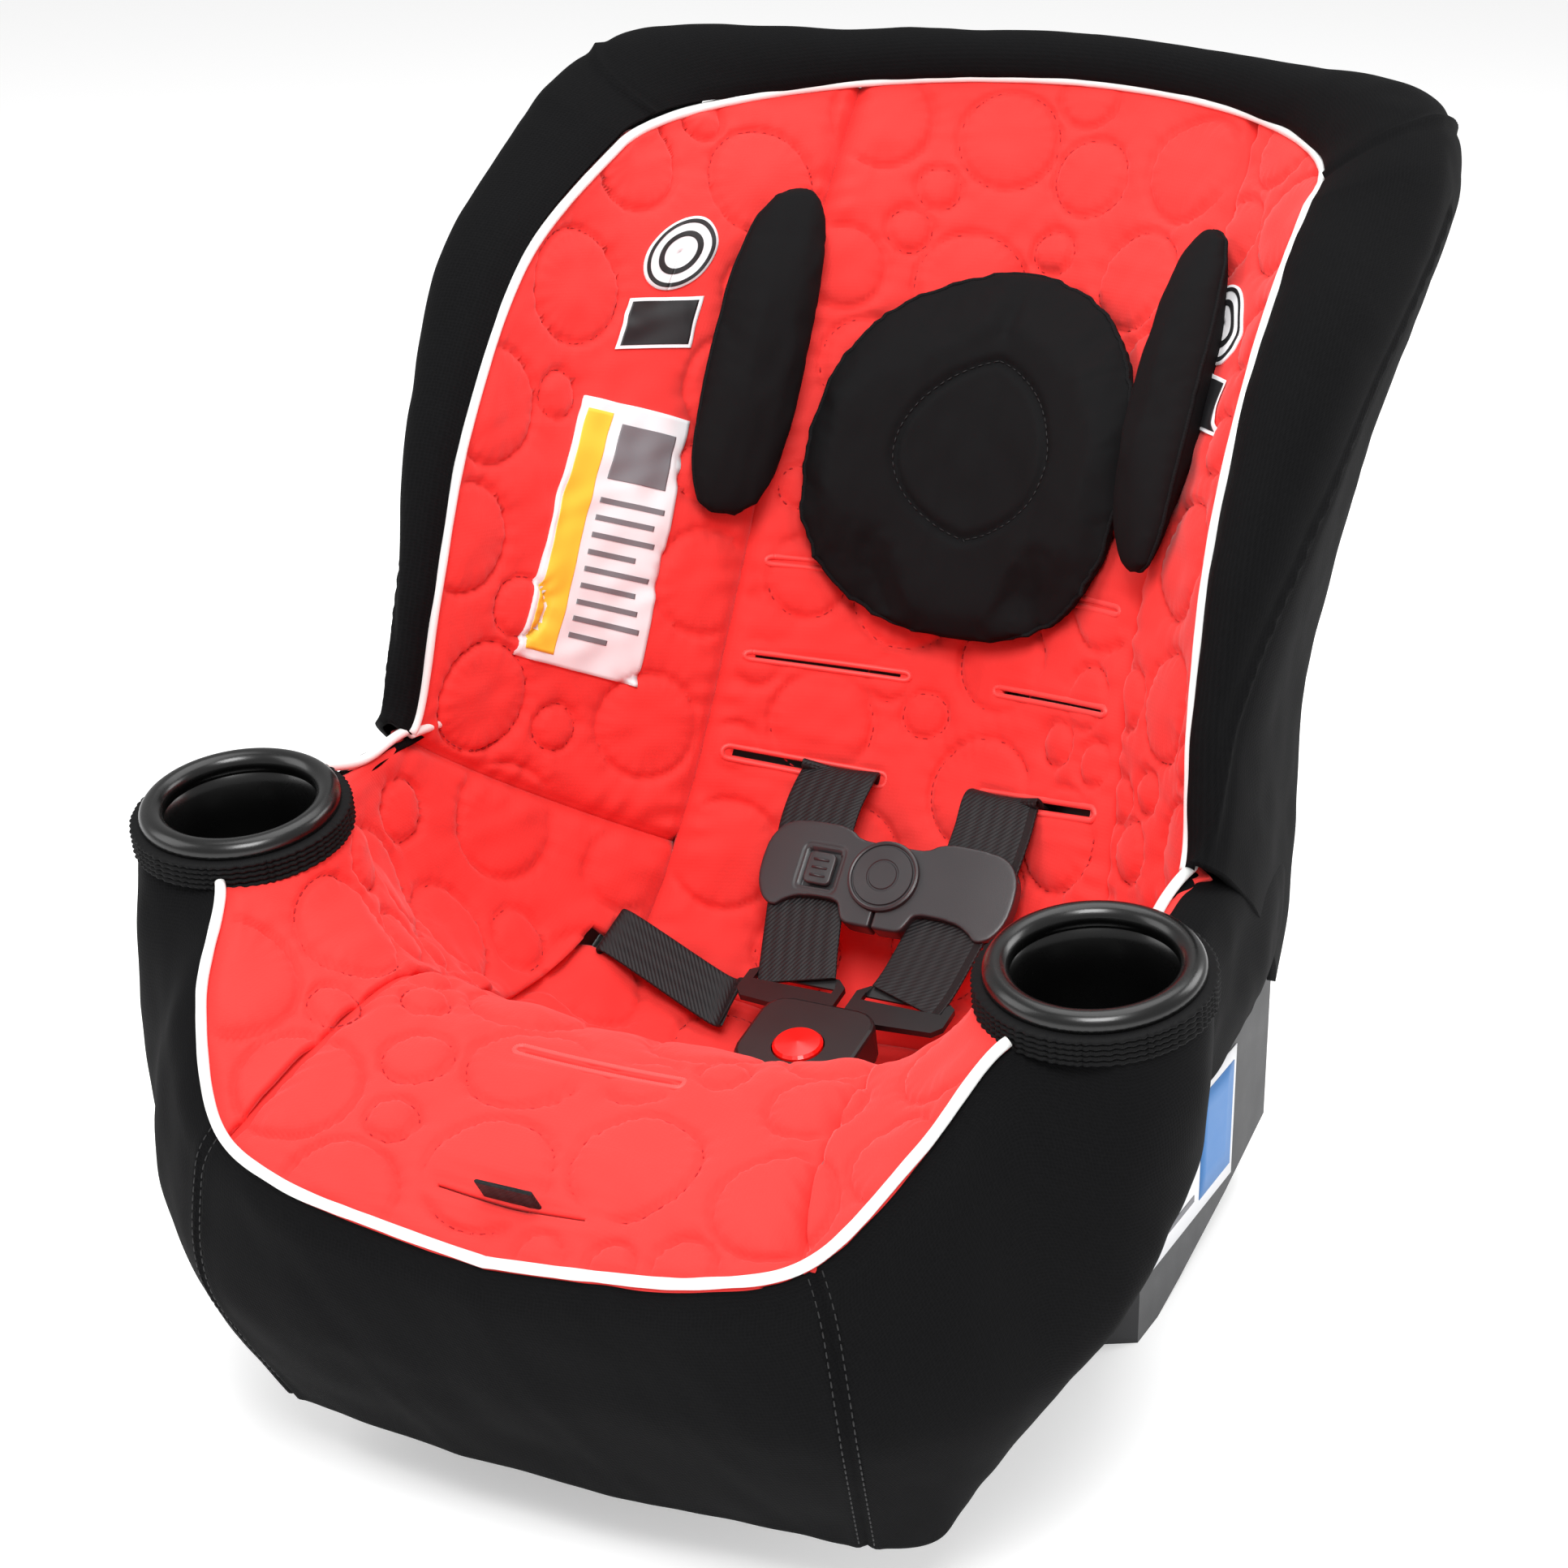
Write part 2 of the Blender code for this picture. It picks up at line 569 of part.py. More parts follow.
def cup_frame(sign):
    """Origin at the middle of the cup holder's rim, Z along its axis."""
    made = Matrix.Translation((sign * CUP_X, CUP_Y, CUP_RIM_Z))
    return made @ Matrix.Rotation(CUP_TILT, 4, "X")


def cup_room(name, sign, mat):
    """A guide that clears a well and its sleeve."""
    outline = [(0, WELL_FOOT - 0.001), (CUP_FOOT_R + WELL_WALL + 0.001, WELL_FOOT - 0.001),
               (CUP_BODY_R + WELL_WALL + 0.002, -0.0465), (SLEEVE_R + 0.0012, -0.0460), (SLEEVE_R + 0.0012, 0.002),
               (0, 0.002)]
    return turned(name, outline, mat, 32, cup_frame(sign))


def cups(mats):
    """Lift-out cup holders, the wells they stand in, and the elastic round their sleeves."""
    roll = (CUP_RIM_R - CUP_MOUTH_R) / 2
    middle = (CUP_RIM_R + CUP_MOUTH_R) / 2
    rim = [(middle + roll * math.cos(a), -roll + roll * math.sin(a))
           for a in np.linspace(-0.9, math.pi + 0.9, 12)]
    taper = CUP_BODY_R - CUP_FOOT_R
    cup = [(0, -CUP_DEPTH), (CUP_FOOT_R - 0.004, -CUP_DEPTH), (CUP_FOOT_R, -CUP_DEPTH + 0.004),
           (CUP_BODY_R, -0.030)]
    cup += rim
    cup += [(CUP_MOUTH_R - 0.001, -0.030), (CUP_MOUTH_R - taper, -CUP_DEPTH + 0.007),
            (0, -CUP_DEPTH + 0.003)]
    reach = CUP_BODY_R + 0.0005
    well = [(0, WELL_FOOT), (CUP_FOOT_R + WELL_WALL, WELL_FOOT), (reach + WELL_WALL, -0.0330), (reach, -0.0330),
            (CUP_FOOT_R + 0.0005, -CUP_DEPTH - 0.001), (0, -CUP_DEPTH - 0.001)]
    ring_in = reach + WELL_WALL + 0.0004
    band = [(ring_in, -0.0450), (SLEEVE_R, -0.0450), (SLEEVE_R + 0.0006, -0.0390), (SLEEVE_R, -0.0300),
            (ring_in, -0.0300)]
    for side, sign in SIDES:
        place = cup_frame(sign)
        turned("cup_holder_" + side, cup, mats["gloss"], 32, place)
        turned("cup_well_" + side, well, mats["shell"], 32, place)
        turned("cup_elastic_" + side, band, mats["elastic"], 32, place)


# ---------------------------------------------------------------- base

def base(mats):
    """The tray under the shell: level in front, and sloping up behind for the reclined position."""
    outline = [(-0.085, 0.0), (0.060, 0.0), (0.088, 0.006), (0.150, 0.022), (0.222, 0.045), (0.234, 0.060),
               (0.234, 0.092), (0.180, 0.150), (0.125, 0.185), (0.080, 0.168), (0.020, 0.116), (-0.030, 0.108),
               (-0.085, 0.056)]
    side_on = frame_at((0, 0, 0), (0, 1, 0), (0, 0, 1))
    tray = plate("base_tray", outline, -BASE_HALF, BASE_HALF, mats["base"], side_on)
    half_plan = [(0.074, -0.085), (0.086, -0.073), (0.096, -0.020), (0.099, 0.018), (0.107, 0.027),
                 (0.132, 0.022), (BASE_HALF, 0.034), (BASE_HALF, 0.205), (0.128, 0.234)]
    plan = half_plan + mirrored(half_plan)[::-1]
    cut(tray, plate("base_plan_guide", plan, -0.01, 0.30, mats["base"]), "INTERSECT")
    hollow = plate("base_hollow_guide", [(-0.100, BASE_FLOOR), (0.058, BASE_FLOOR), (0.145, 0.029), (0.218, 0.052),
                                         (0.2280, 0.064), (0.2280, 0.300), (-0.100, 0.300)],
                   0.0060 - BASE_HALF, BASE_HALF - 0.0060, mats["base"], side_on)
    inner_plan = [(x * 0.945, y * 0.94 + 0.0035) for x, y in plan]
    cut(hollow, plate("base_hollow_plan_guide", inner_plan, -0.02, 0.32, mats["base"]), "INTERSECT")
    cut(tray, hollow)
    columns = both_sides(0.0, 0.2, 0.4, 0.55, 0.7, 0.85, 0.99)
    shape = layer("shell_clearance_guide", spread((3.0, 9.9, 15)), columns,
                  -0.010, SHELL_BACK + 0.0040, mats["base"])
    cut(tray, shape)
    cut(tray, block("base_floor_guide", (0, 0.137, 0.03), (0.150, 0.096, 0.10), mats["base"]))
    for side, sign in SIDES:
        cut(tray, block("anchor_room_guide_" + side, (sign * 0.141, 0.056, 0.130), (0.030, 0.052, 0.060),
                        mats["base"]))
    for n, (x, y) in enumerate(SCREWS):
        at = Matrix.Translation((x, y, 0))
        head = 0.0026
        cut(tray, turned(f"screw_hole_guide_{n}", [(0, -0.002), (0.0050, -0.002), (0.0050, head + 0.0008),
                                                   (SCREW_R + 0.0004, head + 0.0008), (SCREW_R + 0.0004, 0.012),
                                                   (0, 0.012)], mats["base"], 16, at))
        turned(f"base_screw_{n + 1}", [(0, 0.0006), (0.0044, 0.0006), (0.0044, head), (SCREW_R, head + 0.0002),
                                       (SCREW_R, BASE_FLOOR + 0.0125), (0, BASE_FLOOR + 0.0125)],
               mats["steel"], 12, at)


# ---------------------------------------------------------------- harness

# Places along the harness, on the right side.
CLIP_AT = (0.0, 0.0921, 0.1764)
CLIP_DOWN = (0.0, -0.669, -0.743)
CLIP_BUTTON_X = -0.0330
BUCKLE_AT = (0.0, 0.000, 0.1270)
BUCKLE_ALONG = (0.0, 0.970, 0.243)
ADJUSTER_V = 9.01
PIN_AT = (0, 0.0040, -0.0045)
HIP_AT = (5.05, 0.4625)


def depth_point(v, depth, s=0.0):
    """A point behind the bucket's surface."""
    return bucket(v, s) - bucket_normal(v, s) * depth


def adjuster_frame():
    """Local frame of the harness adjuster: Y rearwards along the shell, Z up to its underside."""
    normal = bucket_normal(ADJUSTER_V, 0.0)
    return frame_at(depth_point(ADJUSTER_V, SHELL_BACK + 0.0016), (1, 0, 0), np.cross(normal, (1, 0, 0)))


def shoulder_path():
    """The right shoulder web, from the yoke behind the shell through the slot and the clip to the tongue."""
    slot = sum(SHOULDER_SLOTS[2]) / 2
    path = [(0.0440, 0.1935, 0.1560), (0.0450, 0.1925, 0.1700)]
    path += [depth_point(slot, depth, SHOULDER_WEB_S) for depth in (0.0340, 0.0245, 0.0120, 0.0, -0.0090)]
    return path + [(0.0430, 0.1133, 0.2023), (0.0425, 0.1011, 0.1899), (0.0400, 0.0921, 0.1764),
                   (0.0360, 0.0768, 0.1627), (0.0310, 0.0598, 0.1460), (0.0275, 0.0500, 0.1380)]


def shoulder_web(name, sign, spare, mat):
    """The shoulder web, or a guide that clears it by some spare room."""
    path = shoulder_path()
    path = path if sign > 0 else mirrored(path)
    return ribbon(name, path, [(1, 0, 0)] * len(path), WEB_WIDTH + 2 * spare, WEB_THICK + 2 * spare, mat, 30)


def webs(mats):
    """Harness webbing, each length as it lies when the harness is done up."""
    v, s = HIP_AT
    along = depth_point(v + 0.05, 0, s) - depth_point(v - 0.05, 0, s)
    hip = [(0.0590, 0.0460, 0.1230), (0.0700, 0.0485, 0.1225)]
    hip += [depth_point(v, depth, s) for depth in (-0.0080, 0.0, 0.0100, 0.0200, 0.0305)]
    hip_across = [(0.00, 0.80, 0.60), (0.05, 0.78, 0.62)] + [-along] * 5
    for side, sign in SIDES:
        shoulder_web("web_shoulder_" + side, sign, 0, mats["web"])
        flip = (lambda p: p) if sign > 0 else mirrored
        ribbon("web_hip_" + side, flip(hip), flip(hip_across), 0.026, WEB_THICK, mats["web"], 14)
    middle = sum(CROTCH_SLOTS[0]) / 2
    crotch = [depth_point(middle, d) for d in (0.0330, 0.0200, 0.0080, 0.0, -0.0030)] + [(0, -0.0215, 0.1150)]
    ribbon("web_crotch", crotch, [(1, 0, 0)] * len(crotch), 0.032, WEB_THICK, mats["web"], 14)
    slit = sum(ADJUSTER_SLIT) / 2
    place = adjuster_frame()
    run = [(0, 0.1925, 0.1330), (0, 0.1700, 0.0960), (0, 0.1100, 0.0620), (0, 0.0400, 0.0540),
           (0, -0.0400, 0.0700),
           (0, -0.1300, 0.1240)]
    run += [place @ Vector((0, y, z)) for y, z in ((0.0300, -0.0090), (0.0100, -0.0090), (-0.0100, -0.0090),
                                                   (-0.0175, -0.0090), (-0.0215, -0.0072), (-0.0230, -0.0020))]
    run += [depth_point(slit, depth) for depth in (0.0160, 0.0080, 0.0, -0.0120)]
    ribbon("web_adjuster", run, [(1, 0, 0)] * len(run), 0.0255, WEB_THICK, mats["web"], 46)


def clip_outline():
    """The right half of the chest clip, seen from the front; Y points up the webbing."""
    return [(0.0006, -0.0215), (0.0150, -0.0215), (0.0200, -0.0165), (0.0420, -0.0170), (0.0560, -0.0190),
            (0.0610, -0.0140), (0.0640, 0.0020), (0.0630, 0.0150), (0.0580, 0.0200), (0.0500, 0.0205),
            (0.0250, 0.0190), (0.0006, 0.0205)]


def chest_clip(mats):
    """Two halves that pull apart sideways, a button that frees them, and a round cover disc."""
    place = frame_at(CLIP_AT, (1, 0, 0), [-k for k in CLIP_DOWN])
    for side, sign in SIDES:
        outline = clip_outline() if sign > 0 else mirrored(clip_outline())
        half = plate("clip_half_" + side, outline, -0.0050, 0.0075, mats["clip"], place, 0.0016)
        cut(half, shoulder_web("clip_web_guide_" + side, sign, 0.0008, mats["clip"]))
        if sign < 0:
            cut(half, block("clip_button_guide", (CLIP_BUTTON_X, 0.0, 0.0080), (0.0150, 0.0170, 0.0080),
                            mats["clip"], place))
    block("clip_button", (CLIP_BUTTON_X, 0.0, 0.0066), (0.0142, 0.0162, 0.0034), mats["clip"], place, 0.0008)
    turned("clip_disc", [(0, 0.0079), (0.0165, 0.0079), (0.0178, 0.0088), (0.0170, 0.0102), (0.0155, 0.0098),
                         (0, 0.0104)], mats["clip"], 28, place)


def buckle(mats):
    """The buckle with its push button, its spring and latch, and the two tongues."""
    place = frame_at(BUCKLE_AT, (1, 0, 0), BUCKLE_ALONG)
    middle = place @ Matrix.Translation((0, 0.003, 0))
    body = plate("buckle_body", rounded(0.056, 0.050, 0.012), -0.0100, 0.0090, mats["buckle"], middle, 0.0018)
    button_at = place @ Matrix.Translation((0, -0.004, 0))
    cut(body, turned("buckle_button_guide", [(0, 0.0010), (0.0122, 0.0010), (0.0122, 0.0200), (0, 0.0200)],
                     mats["buckle"], 28, button_at))
    cut(body, block("buckle_throat_guide", (0, 0.0220, -0.0022), (0.0450, 0.0320, 0.0046),
                    mats["buckle"], place))
    cut(body, block("buckle_web_guide", (0, -0.0200, -0.0060), (0.0360, 0.0050, 0.0120),
                    mats["buckle"], place))
    cut(body, block("buckle_latch_guide", (0, 0.0030, -0.0100), (0.0330, 0.0190, 0.0080),
                    mats["buckle"], place))
    block("buckle_latch", (0, 0.0040, -0.0082), (0.0320, 0.0130, 0.0024), mats["steel"], place)
    turned("buckle_button", [(0, 0.0052), (0.0116, 0.0052), (0.0116, 0.0098), (0.0104, 0.0110), (0, 0.0116)],
           mats["button"], 28, button_at)
    turned("buckle_spring", [(0, 0.0014), (0.0060, 0.0014), (0.0060, 0.0048), (0, 0.0048)], mats["steel"],
           12, button_at)
    shape = [(0.0030, 0.0080), (0.0210, 0.0080), (0.0210, 0.0310), (0.0480, 0.0330), (0.0520, 0.0380),
             (0.0520, 0.0520), (0.0460, 0.0570), (0.0080, 0.0570), (0.0030, 0.0520)]
    for side, sign in SIDES:
        outline = shape if sign > 0 else mirrored(shape)
        tongue = plate("tongue_" + side, outline, -0.0036, -0.0006, mats["steel"], place)
        cut(tongue, block("tongue_slot_guide_" + side, (sign * 0.0275, 0.0490, 0), (0.0400, 0.0054, 0.0200),
                          mats["steel"], place))
        cut(tongue, shoulder_web("tongue_web_guide_" + side, sign, 0.0008, mats["steel"]))


def adjuster(mats):
    """The harness adjuster under the front of the liner: housing, lever, pin and spring."""
    place = adjuster_frame()
    hinge = place @ Matrix.Translation(PIN_AT) @ Matrix.Rotation(math.pi / 2, 4, "Y")
    housing = block("adjuster_housing", (0, 0.0020, -0.0083), (0.0440, 0.0240, 0.0166), mats["steel"], place)
    cut(housing, block("adjuster_channel_guide", (0, 0, -0.0074), (0.0370, 0.0800, 0.0124),
                       mats["steel"], place))
    cut(housing, turned("adjuster_bore_guide", [(0, -0.03), (0.0016, -0.03), (0.0016, 0.03), (0, 0.03)],
                        mats["steel"],
                        12, hinge))
    turned("adjuster_pin", [(0, -0.0215), (0.0013, -0.0215), (0.0013, 0.0215), (0, 0.0215)],
           mats["steel"], 12, hinge)
    knuckle = [(PIN_AT[1] + 0.0029 * math.cos(k), PIN_AT[2] + 0.0029 * math.sin(k))
               for k in (math.tau * n / 12 for n in range(-5, 6))]
    outline = knuckle + [(-0.0112, -0.0034), (-0.0118, 0.0015), (-0.0180, 0.0015), (-0.0185, -0.0050)]
    lever = plate("adjuster_lever", outline, -0.0100, 0.0100, mats["steel"],
                  place @ frame_at((0, 0, 0), (0, 1, 0), (0, 0, 1)))
    cut(lever, turned("adjuster_lever_guide", [(0, -0.03), (0.0016, -0.03), (0.0016, 0.03), (0, 0.03)],
                        mats["steel"],
                      12, hinge))
    turned("adjuster_spring", [(0.0017, 0.0108), (0.0028, 0.0108), (0.0028, 0.0165), (0.0017, 0.0165)],
           mats["steel"],
           12, hinge)


def anchor(name, v, s, width, mat):
    """A steel plate lying on the shell's outer face, with a slot for webbing of the given width."""
    across = depth_point(v + 0.02, 0, s) - depth_point(v - 0.02, 0, s)
    normal = bucket_normal(v, s)
    if s == 0:
        across = (1, 0, 0)
    place = frame_at(depth_point(v, SHELL_BACK + 0.0038, s), across, np.cross(normal, across))
    made = plate(name, rounded(width + 0.014, 0.020, 0.004), -0.0012, 0.0012, mat, place)
    cut(made, block(name + "_guide", (0, 0, 0), (width + 0.0010, WEB_THICK + 0.0012, 0.02), mat, place))


def hardware(mats):
    """Metal plates behind and under the shell that the webbing is looped through."""
    yoke = frame_at((0, 0.1930, 0.1500), (1, 0, 0), (0, -0.15, 0.99))
    splitter = plate("splitter_plate", [(-0.0680, 0.0200), (-0.0680, 0.0040), (-0.0180, -0.0230), (0.0180, -0.0230),
                                        (0.0680, 0.0040), (0.0680, 0.0200)], -0.0012, 0.0012, mats["steel"], yoke)
    for sign in (-1, 1):
        cut(splitter, shoulder_web(f"splitter_guide_{sign}", sign, 0.0008, mats["steel"]))
    cut(splitter, block("splitter_guide_0", (0, -0.0160, 0), (0.0280, 0.0050, 0.02), mats["steel"], yoke))
    anchor("crotch_anchor", sum(CROTCH_SLOTS[0]) / 2, 0.0, 0.032, mats["steel"])
    for side, sign in SIDES:
        anchor("hip_anchor_" + side, HIP_AT[0], sign * HIP_AT[1], 0.026, mats["steel"])


def build():
    start()
    mats = {
        "liner": material("liner_red", (0.80, 0.045, 0.05), 0.75),
        "knit": material("knit_black", (0.012, 0.012, 0.013), 0.9),
        "piping": material("piping_white", (0.85, 0.85, 0.85), 0.45),
        "elastic": material("elastic_black", (0.015, 0.015, 0.016), 0.85),
        "foam": material("wing_foam", (0.75, 0.75, 0.72), 0.9),
        "shell": material("shell_grey", (0.05, 0.05, 0.052), 0.55),
        "base": material("base_grey", (0.06, 0.06, 0.062), 0.5),
        "gloss": material("cup_black", (0.01, 0.01, 0.01), 0.28),
        "pillow": material("pillow_black", (0.013, 0.013, 0.014), 0.85),
        "web": material("webbing_black", (0.02, 0.02, 0.021), 0.8),
        "clip": material("clip_charcoal", (0.03, 0.03, 0.032), 0.42),
        "buckle": material("buckle_black", (0.012, 0.012, 0.012), 0.35),
        "button": material("button_red", (0.78, 0.03, 0.02), 0.3),
        "steel": material("steel", (0.45, 0.45, 0.46), 0.35, 1.0),
    }
    shell(mats)
    wings = liner(mats)
    outer_back(mats)
    outer_seat(mats)
    piping(mats, wings)
    pillow(mats)
    cups(mats)
    base(mats)
    webs(mats)
    chest_clip(mats)
    buckle(mats)
    adjuster(mats)
    hardware(mats)


build()
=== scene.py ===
"""Looks for the convertible car seat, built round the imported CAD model.

Metres, +Z up, the seat faces -Y, and X = 0 is its plane of symmetry. Soft pieces follow the same smooth
surface as the CAD liner: bucket(v, s), where v runs down the back and forward over the seat, and s runs
from the left rim (-1) to the right rim (+1).
"""
import json
import math
import random

import bmesh
import bpy
import numpy as np
from mathutils import Matrix, Vector


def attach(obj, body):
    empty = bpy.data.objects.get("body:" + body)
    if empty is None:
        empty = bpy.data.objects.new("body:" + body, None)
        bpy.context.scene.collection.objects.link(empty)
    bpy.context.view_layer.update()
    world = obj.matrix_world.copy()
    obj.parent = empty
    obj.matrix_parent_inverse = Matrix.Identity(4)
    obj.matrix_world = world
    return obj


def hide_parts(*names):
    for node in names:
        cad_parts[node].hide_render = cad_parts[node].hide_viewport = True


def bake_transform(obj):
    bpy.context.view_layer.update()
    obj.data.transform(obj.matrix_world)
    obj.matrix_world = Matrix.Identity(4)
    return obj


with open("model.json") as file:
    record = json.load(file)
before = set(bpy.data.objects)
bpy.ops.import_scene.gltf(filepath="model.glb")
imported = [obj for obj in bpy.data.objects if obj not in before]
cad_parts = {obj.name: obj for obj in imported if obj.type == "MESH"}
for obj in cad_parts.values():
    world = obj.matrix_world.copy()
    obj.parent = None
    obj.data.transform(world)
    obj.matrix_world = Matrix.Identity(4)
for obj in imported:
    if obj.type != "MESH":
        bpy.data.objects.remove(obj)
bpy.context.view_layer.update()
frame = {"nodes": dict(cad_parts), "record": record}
NODES = frame["nodes"]
SIDES = (("left", -1), ("right", 1))
RNG = random.Random(7)

# Centre line (y, z), right rim (x, y, z) and squareness of the bucket's cross-sections.
STATIONS = (
    (0.306, 0.515, 0.166, 0.159, 0.501, 1.9),
    (0.268, 0.442, 0.174, 0.075, 0.460, 1.7),
    (0.222, 0.355, 0.176, 0.020, 0.392, 1.6),
    (0.176, 0.268, 0.179, -0.006, 0.322, 1.6),
    (0.130, 0.178, 0.184, -0.020, 0.264, 1.7),
    (0.080, 0.106, 0.186, -0.045, 0.257, 1.9),
    (0.000, 0.098, 0.184, -0.080, 0.256, 2.1),
    (-0.085, 0.150, 0.158, -0.118, 0.250, 2.3),
    (-0.160, 0.201, 0.146, -0.150, 0.247, 2.4),
    (-0.235, 0.190, 0.153, -0.180, 0.247, 2.4),
    (-0.279, 0.161, 0.172, -0.197, 0.253, 2.3),
)
LAST = len(STATIONS) - 1
SLOT_ROWS = ((2.69, 0.0012), (3.19, 0.0012), (3.69, 0.0026))     # v, half height
SEAM_S = 0.4230          # seam between the back and the wings
SEAT_S = 0.4990          # seam between the seat and the arms
FOLD_V = 5.04            # seam between the back and the seat
WING_V = 4.26            # seam between the wings and the arms
SLOT_S = (0.130, 0.385)
WEB_S = 0.203
FRONT_SLOT_V = 8.375
TAB_V = 9.45
CROTCH_V = 6.39

# The cover's roll round the back: v, s, outward and rearward directions, width and reach.
BAND = (
    (0.0, 0.00, 0.00, 0.20, 0.98, 0.00, 1.00, -0.20, 0.018, 0.046),
    (0.0, 0.42, 0.06, 0.20, 0.98, -0.02, 1.00, -0.18, 0.021, 0.050),
    (0.0, 0.66, 0.36, 0.16, 0.92, -0.02, 0.98, -0.18, 0.032, 0.064),
    (0.0, 0.84, 0.74, 0.06, 0.67, -0.04, 0.98, -0.18, 0.048, 0.092),
    (0.12, 1.00, 0.92, -0.02, 0.40, -0.06, 0.97, -0.20, 0.053, 0.122),
    (0.6, 1.00, 0.98, -0.04, 0.20, -0.10, 0.96, -0.22, 0.051, 0.140),
    (1.3, 1.00, 0.99, -0.04, 0.10, -0.14, 0.95, -0.24, 0.045, 0.146),
    (2.1, 1.00, 1.00, -0.02, 0.02, -0.12, 0.95, -0.25, 0.034, 0.150),
    (2.9, 1.00, 1.00, 0.00, 0.00, -0.10, 0.93, -0.31, 0.022, 0.150),
    (3.6, 1.00, 1.00, 0.00, 0.00, -0.08, 0.87, -0.45, 0.019, 0.150),
    (4.2, 1.00, 1.00, 0.00, 0.00, -0.07, 0.76, -0.63, 0.019, 0.150),
)
BAND_SECTION = ((0.02, 0.000), (0.24, -0.045), (0.55, -0.050), (0.82, 0.020), (1.00, 0.170), (1.03, 0.330),
                (0.98, 0.560), (0.86, 0.800), (0.62, 1.000))
BAND_SPLIT = 3.3

CUP_X, CUP_Y, CUP_Z = 0.1930, -0.1500, 0.2735
CUP_TILT = math.radians(10)
SLEEVE_R = 0.0462
SKIRT_TUCK = (0.0449, -0.0170)      # radius and height of the elastic's hidden edge that the skirt meets
LINER_TUCK = (0.0447, -0.0175)      # the same for the liner
PIPING_R = 0.0023
OUTWARD = -1                        # which side of a cover's grid faces out
TAPE_DEPTH = 0.0048
SIDEWAYS = 0.15                     # share of the swelling's sideways movement that is kept
BASE_SIDE_X = 0.1520
BASE_STICKER = ((0.034, 0.030), (0.156, 0.098))         # y and z of its lower and upper corners
PLATE_CORNERS = ((0.25, -0.062), (0.25, 0.062), (0.52, 0.062), (0.52, -0.062))      # v and s from the badge


# ---------------------------------------------------------------- surfaces

def spline(points, t):
    """Catmull-Rom curve through rows of numbers; t is an array counted in rows."""
    table = np.array(points, float)
    last = len(table) - 1
    t = np.clip(np.asarray(t, float), 0, last)
    i = np.minimum(t.astype(int), last - 1)
    f = (t - i)[..., None]
    p0, p1, p2, p3 = (table[np.clip(i + k, 0, last)] for k in (-1, 0, 1, 2))
    return 0.5 * (2 * p1 + (p2 - p0) * f + (2 * p0 - 5 * p1 + 4 * p2 - p3) * f ** 2
                  + (3 * p1 - p0 - 3 * p2 + p3) * f ** 3)


def bucket(v, s):
    """Points of the bucket's inner surface."""
    v, s = np.broadcast_arrays(np.asarray(v, float), np.asarray(s, float))
    row = spline(STATIONS, v)
    cy, cz, rx, ry, rz, square = np.moveaxis(row, -1, 0)
    angle = np.abs(s) * math.pi / 2
    across = np.sin(angle) ** (2 / square)
    rise = 1 - np.maximum(np.cos(angle), 0) ** (2 / square)
    return np.stack((np.sign(s) * rx * across, cy + (ry - cy) * rise, cz + (rz - cz) * rise), axis=-1)


def bucket_normal(v, s):
    """Unit normals of the bucket, towards the child."""
    s = np.clip(s, -0.985, 0.985)
    v = np.clip(v, 0.02, LAST - 0.02)
    n = np.cross(bucket(v + 0.02, s) - bucket(v - 0.02, s), bucket(v, s + 0.01) - bucket(v, s - 0.01))
    return n / np.linalg.norm(n, axis=-1, keepdims=True)


def band_point(t, k):
    """Points of the outer cover round the right half of the back."""
    t, k = np.broadcast_arrays(np.asarray(t, float), np.asarray(k, float))
    row = spline(BAND, t)
    share = spline(BAND_SECTION, k)
    out = row[..., 2:5] / np.linalg.norm(row[..., 2:5], axis=-1, keepdims=True)
    back = row[..., 5:8] / np.linalg.norm(row[..., 5:8], axis=-1, keepdims=True)
    rim = bucket(np.maximum(row[..., 0], 0), np.minimum(row[..., 1], 1))
    reach_out = share[..., 0] * row[..., 8] + 0.0034 * np.maximum(1 - k, 0)
    return rim + out * reach_out[..., None] + back * (share[..., 1] * row[..., 9])[..., None]


def band_rim(t):
    """The line of the piping round the back."""
    row = spline(BAND, t)
    rim = bucket(np.maximum(row[..., 0], 0), np.minimum(row[..., 1], 1))
    return rim - row[..., 5:8] * (0, 0.0014, 0.0014)


def under_elastic(degrees, radius=SKIRT_TUCK[0], height=SKIRT_TUCK[1]):
    """A point tucked under the right cup's elastic band; 0 degrees is its front, 90 its outer side."""
    angle = math.radians(degrees)
    y, z = -radius * math.cos(angle), height
    return (CUP_X + radius * math.sin(angle), CUP_Y + y * math.cos(CUP_TILT) - z * math.sin(CUP_TILT),
            CUP_Z + y * math.sin(CUP_TILT) + z * math.cos(CUP_TILT))


